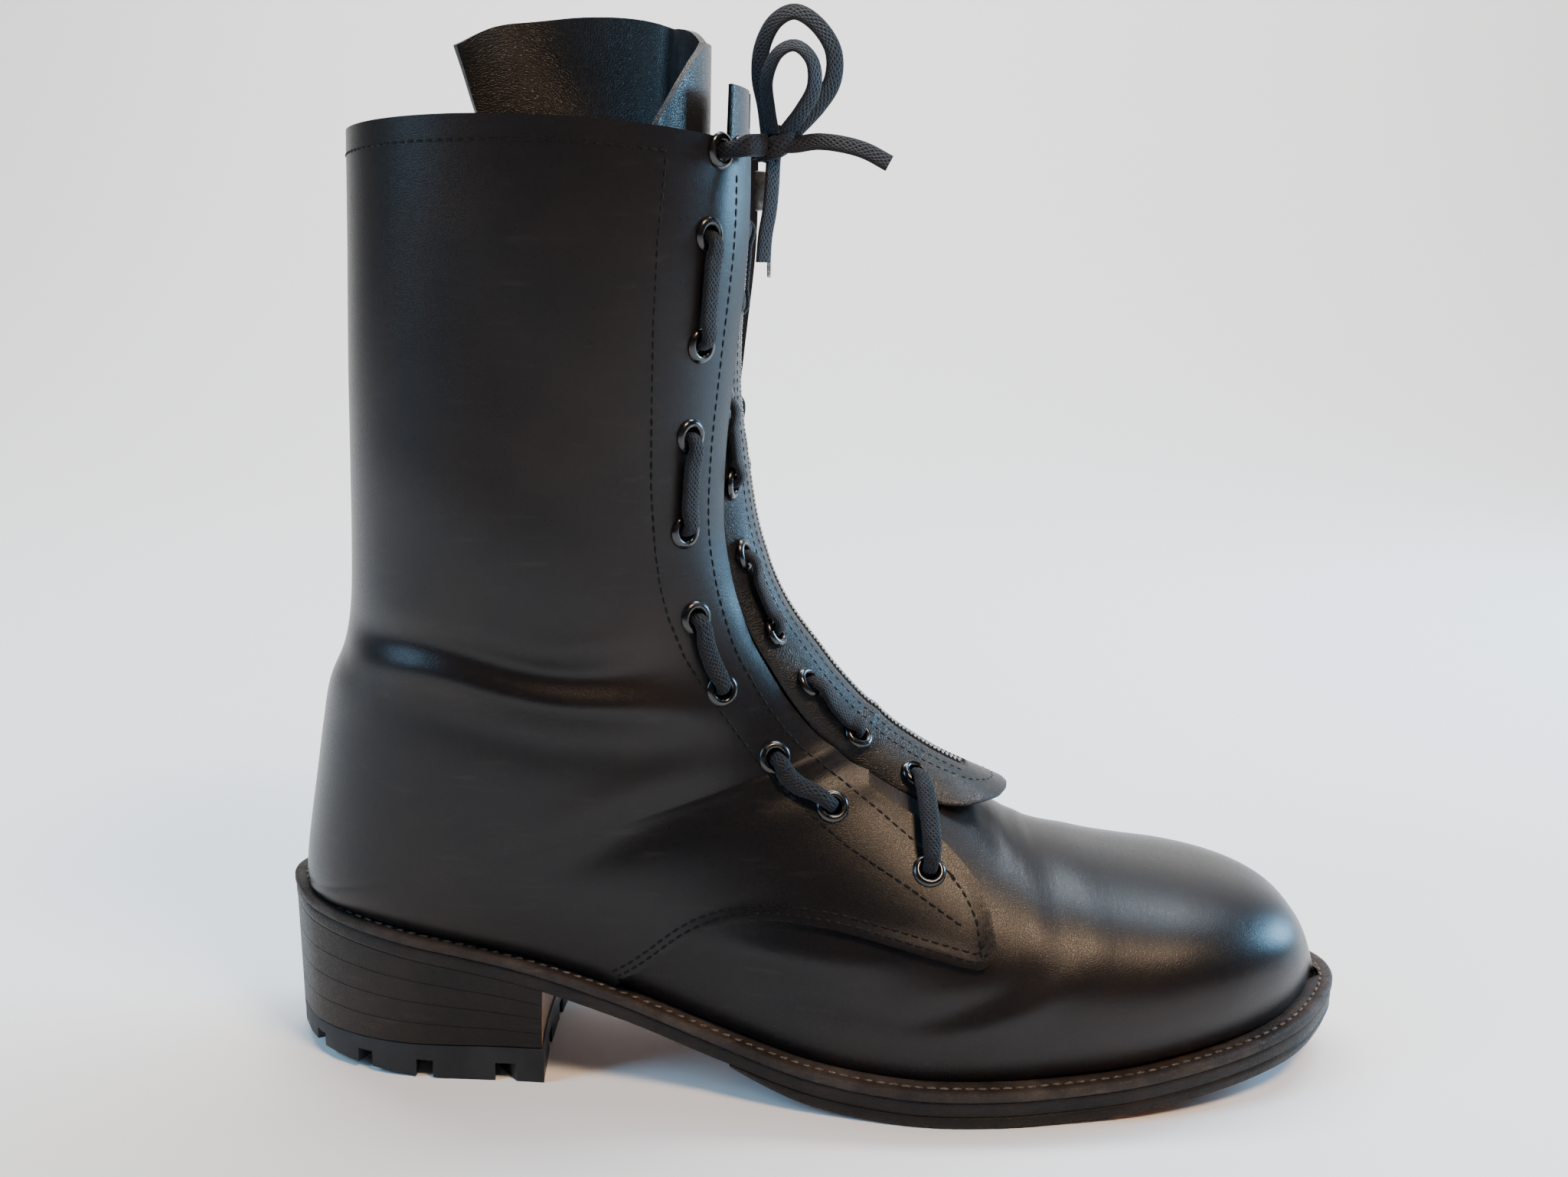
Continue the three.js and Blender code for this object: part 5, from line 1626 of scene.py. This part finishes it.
def lace(word, side):
    """One side's lace: bars, the lowest stretch, crossings, and outside two runs to the knot."""
    parts = []
    braid = lambda made: parts.append(braid_along(f"{word}_stretch", *made))
    seat_f, seat_p = facing_at(side, 0), panel_at(side, 0)
    way_f = unit(facing_at(side, 1) - seat_f)
    way_p = unit(panel_at(side, 1) - seat_p)
    for a, b in BAR_PAIRS:
        braid(bar_line(side, a, b, "facing"))
        braid(bar_line(side, a, b, "panel"))
    low_f, low_p = seat_f[9] + 0.6 * way_f[9], seat_p[9] + 0.6 * way_p[9]
    line, across, widths = between(low_f, low_p, unit(way_f[9] + way_p[9]), 4.2)
    ends = [low_f - way_f[9] * k for k in (4, 2.5, 1)], [low_p - way_p[9] * k for k in (1, 2.5, 4)]
    braid((np.vstack([ends[0], line, ends[1]]), padded(across), padded(widths)))
    for i in (9, 7, 5, 3, 1):
        middle = panel_point((EYE[i, 2] + EYE[i - 1, 2]) / 2, side * PANEL_HALF, -2.3)
        for start, end in (
            (seat_f[i] - 4.6 * way_f[i], seat_p[i - 1] - 4.0 * way_p[i - 1]),
            (seat_p[i] - 4.0 * way_p[i], seat_f[i - 1] - 4.6 * way_f[i - 1]),
        ):
            braid(between(start, end, way_p[i], 0.0, (4.4, 4.8), middle))
    if side < 0:
        for seat, way, bend in (
            (seat_f[0], way_f[0], (130.5, -34.5, 246.5)),
            (seat_p[0], way_p[0], (134, -17.5, 249.5)),
        ):
            bend = np.array(bend)
            stop = KNOT_AT + unit(bend - KNOT_AT) * 2.5
            route = [seat - 4 * way, seat - 1.5 * way, seat + 1.2 * way,
                     seat + 2.6 * way + 0.25 * (bend - seat), bend, stop]
            line = spread(route, 0.9)
            gone = np.linspace(0, 1, len(line))
            braid((line, [0.1, 0.2, 1.0], np.interp(gone, [0, 0.35, 0.6], [3.7, 4.3, 5.4])))
    piece = join(f"braided_lace_{word}", parts)
    paint(piece, [BRAID])
    finish(piece, "lace", f"lace_{word}")


for word, side in SIDES.items():
    lace(word, side)


# Stitching: waxed black thread in rows along the edges of the upper and the zip panel, and a
# thicker brown thread all round the welt and in a channel under the sole.
def stitch_model(length, width, height):
    model = simple(bpy.ops.mesh.primitive_uv_sphere_add, segments=8, ring_count=5, radius=0.5)

    def shape():
        bpy.ops.transform.rotate(value=math.pi / 2, orient_axis="Y", center_override=(0, 0, 0))
        bpy.ops.transform.resize(value=(length, width, height))

    in_edit(model, shape)
    return model


def on_side(tree, line, side):
    """Points of a side view set down on a piece, with the piece's own normals."""
    found, ways = [], []
    for x, z in line:
        place, normal = from_side(tree, x, z, side)
        if place is None:
            continue
        found.append(np.array(place) / MM - FROM_HEEL)
        ways.append(np.array(normal))
    return np.array(found), np.array(ways)


def inset_line(points, distance):
    """A side-view line moved to its left."""
    line = side_line(points, 1.0)
    way = unit(np.gradient(line, axis=0))
    return line + distance * np.stack([-way[:, 1], way[:, 0]], 1)


def evenly(points, ways, pitch):
    gone = gone_along(points)
    at = np.arange(pitch / 2, gone[-1], pitch)
    return blend(at, gone, points), blend(at, gone, unit(ways))


def sew(name, lines, thread, pitch=2.7, size=(2.0, 0.55, 0.42), sunk=0.04):
    origins, alongs, normals = [], [], []
    for points, ways in lines:
        places, ups = evenly(np.asarray(points), np.asarray(ways), pitch)
        origins.append(places - unit(ups) * sunk)
        alongs.append(np.gradient(places, axis=0))
        normals.append(ups)
    piece = set_copies(
        name, stitch_model(*size), np.vstack(origins), np.vstack(alongs), np.vstack(normals)
    )
    paint(piece, [thread])
    finish(piece, "lace")
    return piece


def thread_material(name, dark, light):
    made, add, put = new_material(name, Specular_IOR_Level=0.15)
    twist = noise(add, object_place(add), 1800.0, 2.0)
    put(
        Base_Color=ramp(add, twist, [(0.35, dark), (0.65, light)]),
        Roughness=greys(add, twist, (0.3, 0.75), (0.7, 0.5)),
    )
    return made


BLACK_THREAD = thread_material("black_thread", (0.0008, 0.0007, 0.0007), (0.004, 0.003, 0.003))
WELT_THREAD = thread_material("welt_thread", (0.04, 0.03, 0.024), (0.17, 0.135, 0.11))
FACING_SEAM = np.array([
    (111.4, 243), (109.4, 223), (108.3, 204), (107.7, 184), (107.3, 163), (108, 149),
    (109.3, 138), (111.4, 129), (115.1, 119), (119.4, 111.5), (125.1, 103), (132.1, 93),
    (142.8, 81), (157.7, 69), (172.7, 60), (187.6, 51),
])


def upper_lines():
    tree = BVHTree.FromObject(quarters, bpy.context.evaluated_depsgraph_get())
    seam = np.vstack([QUARTER_SEAM, QUARTER_TIP[:2]])
    front = side_line(np.vstack([QUARTER_TIP[1:], QUARTER_FRONT[:3]]), 1.0)
    lines = []
    for side in SIDES.values():
        for inset in (1.8, 3.6):
            lines.append(on_side(tree, inset_line(seam, inset), side))
        lines.append(on_side(tree, FACING_SEAM, side))
        u = np.linspace(0.35, 15.2, 90)
        edge = skin(u, behind_throat(u, side, np.full(u.shape, 4.6)), np.zeros(u.shape))
        way = unit(np.gradient(front, axis=0))
        tip = front + 4.2 * np.stack([-way[:, 1], way[:, 0]], 1)
        lines.append(on_side(tree, side_line(np.vstack([edge[:, [0, 2]], tip[::-1]]), 1.0), side))
        v = side * np.linspace(0.3, 0.999, 160)
        u = rim_row(v) + 0.22
        lines.append((skin(u, v, np.full(v.shape, QUARTER_STEP)), outward(u, v)))
    return [line for line in lines if len(line[0]) > 3]


sew("upper_stitches", upper_lines(), BLACK_THREAD, size=(2.2, 0.8, 0.6))


def panel_lines():
    low, inner, outer = 18.9, 5.6, 8.2
    u = np.linspace(0, low, 300)
    turn = np.linspace(-1, 1, 60) * math.pi / 2
    paths = [(u, side * off) for side in SIDES.values() for off in (inner, outer)]
    paths.append((low + 1.05 * np.cos(turn), outer * np.sin(turn)))
    lines = []
    for u, off in paths:
        at = panel_point(u, off, PANEL)
        lines.append((at, panel_point(u, off, PANEL + 1) - at))
    return lines


sew("panel_stitches", panel_lines(), BLACK_THREAD, pitch=2.3, size=(1.7, 0.45, 0.36))


def sole_lines(inset, height, keep, up):
    edge = sole_edge(inset, 200)
    points = np.column_stack([edge, height(edge[:, 0])])
    points = np.vstack([points, points[:1]])
    kept = keep(points[:, 0])
    runs = np.split(points, np.flatnonzero(kept[1:] != kept[:-1]) + 1)
    sewn = [run for run in runs if keep(run[0, 0]) and len(run) > 4]
    return [(run, np.tile([0, 0, up], (len(run), 1))) for run in sewn]


WELT_SEAM, CHANNEL = 3.4, 7.0
sew(
    "welt_stitches",
    sole_lines(WELT_SEAM, lambda x: welt_top(x) - 0.3, lambda x: x > -1, 1.0),
    WELT_THREAD, pitch=3.3, size=(2.6, 0.95, 0.85), sunk=0.0,
)
forefoot = lambda x: x > HALF_SOLE_END + 3
waist = lambda x: (x > HEEL_LENGTH + 2) & (x < HALF_SOLE_END - 2)
channel = sole_lines(CHANNEL, half_sole_under, forefoot, -1.0)
channel += sole_lines(CHANNEL, outsole_bottom, waist, -1.0)
sew("channel_stitches", channel, WELT_THREAD, pitch=4.2, size=(3.0, 0.7, 0.3), sunk=0.15)

# Insole: a board of tan leather that the upper is pulled over and fixed to from below. It shows
# only down the shaft, so it keeps the plain shape of its node.
INSOLE_LEATHER = leather(
    "insole_leather",
    ((0.12, 0.07, 0.04), (0.2, 0.12, 0.07), (0.27, 0.17, 0.11), (0.08, 0.05, 0.03)),
    (0.55, 0.75), grain=900.0, mottle=40.0, bump=0.4,
)
give(cad_node("insole"), [INSOLE_LEATHER])

# Stage: a pale sweep of paper under and behind the boot, lit from above. Cool soft light falls
# on the boot from windows to the left and right, and warm light from a lamp in front.
def sweep(down, round_):
    """Upright paper that turns in one wide curve into the floor."""
    curve, behind, floor, wide = 1500, 1100, 4200, 20000
    bend = grow(down, 0.2, 0.7) * math.pi / 2
    depth = behind + curve * np.cos(bend) - floor * grow(down, 0.7, 1)
    height = curve * (1 - np.sin(bend) + grow(down, 0.2, 0))
    return np.stack([(round_ - 0.5) * wide + LENGTH / 2, depth, height], 1)


stage = bend_grid("paper_sweep", 60, 4, sweep)
smooth(stage, 80)
stage.data.materials.append(
    new_material("pale_paper", Roughness=0.9, Base_Color=(0.9, 0.9, 0.9, 1))[0]
)


def soft_light(name, place, size, power, colour, aim=(0, 0, 0.12)):
    lamp = bpy.data.objects.new(name, bpy.data.lights.new(name, "AREA"))
    bpy.context.collection.objects.link(lamp)
    lamp.data.shape = "RECTANGLE"
    lamp.data.size, lamp.data.size_y = size
    lamp.data.energy = power
    lamp.data.color = colour
    lamp.location = place
    lamp.rotation_euler = (Vector(aim) - Vector(place)).to_track_quat("-Z", "Y").to_euler()


soft_light("window_left", (-1.2, -0.5, 0.9), (0.5, 0.9), 17, (0.4, 0.7, 1.0))
soft_light("sky_above", (0.55, 0.35, 1.3), (0.6, 0.5), 9, (0.5, 0.75, 1.0))
soft_light("window_right", (1.2, 0.5, 0.42), (0.35, 0.35), 22, (0.32, 0.66, 1.0), (0.13, 0, 0.06))
soft_light("lamp_front", (0.5, -0.55, 1.15), (0.3, 0.3), 17, (1.0, 0.7, 0.45))
soft_light("paper_wash", (0, 0.9, 2.4), (3.0, 0.5), 125, (1.0, 0.98, 0.96), (0, 2.1, 0.2))
SEEN_STRENGTH, LIT_STRENGTH = 1.3, 0.07
world = bpy.data.worlds.new("studio")
bpy.context.scene.world = world
world.use_nodes = True
add = node_maker(world.node_tree)
seen = add("ShaderNodeLightPath").outputs["Is Camera Ray"]
strength = maths(add, "MULTIPLY_ADD", seen, SEEN_STRENGTH, LIT_STRENGTH)
shine = world.node_tree.nodes["Background"].inputs
shine["Color"].default_value = (0.95, 0.96, 1.0, 1)
world.node_tree.links.new(strength, shine["Strength"])
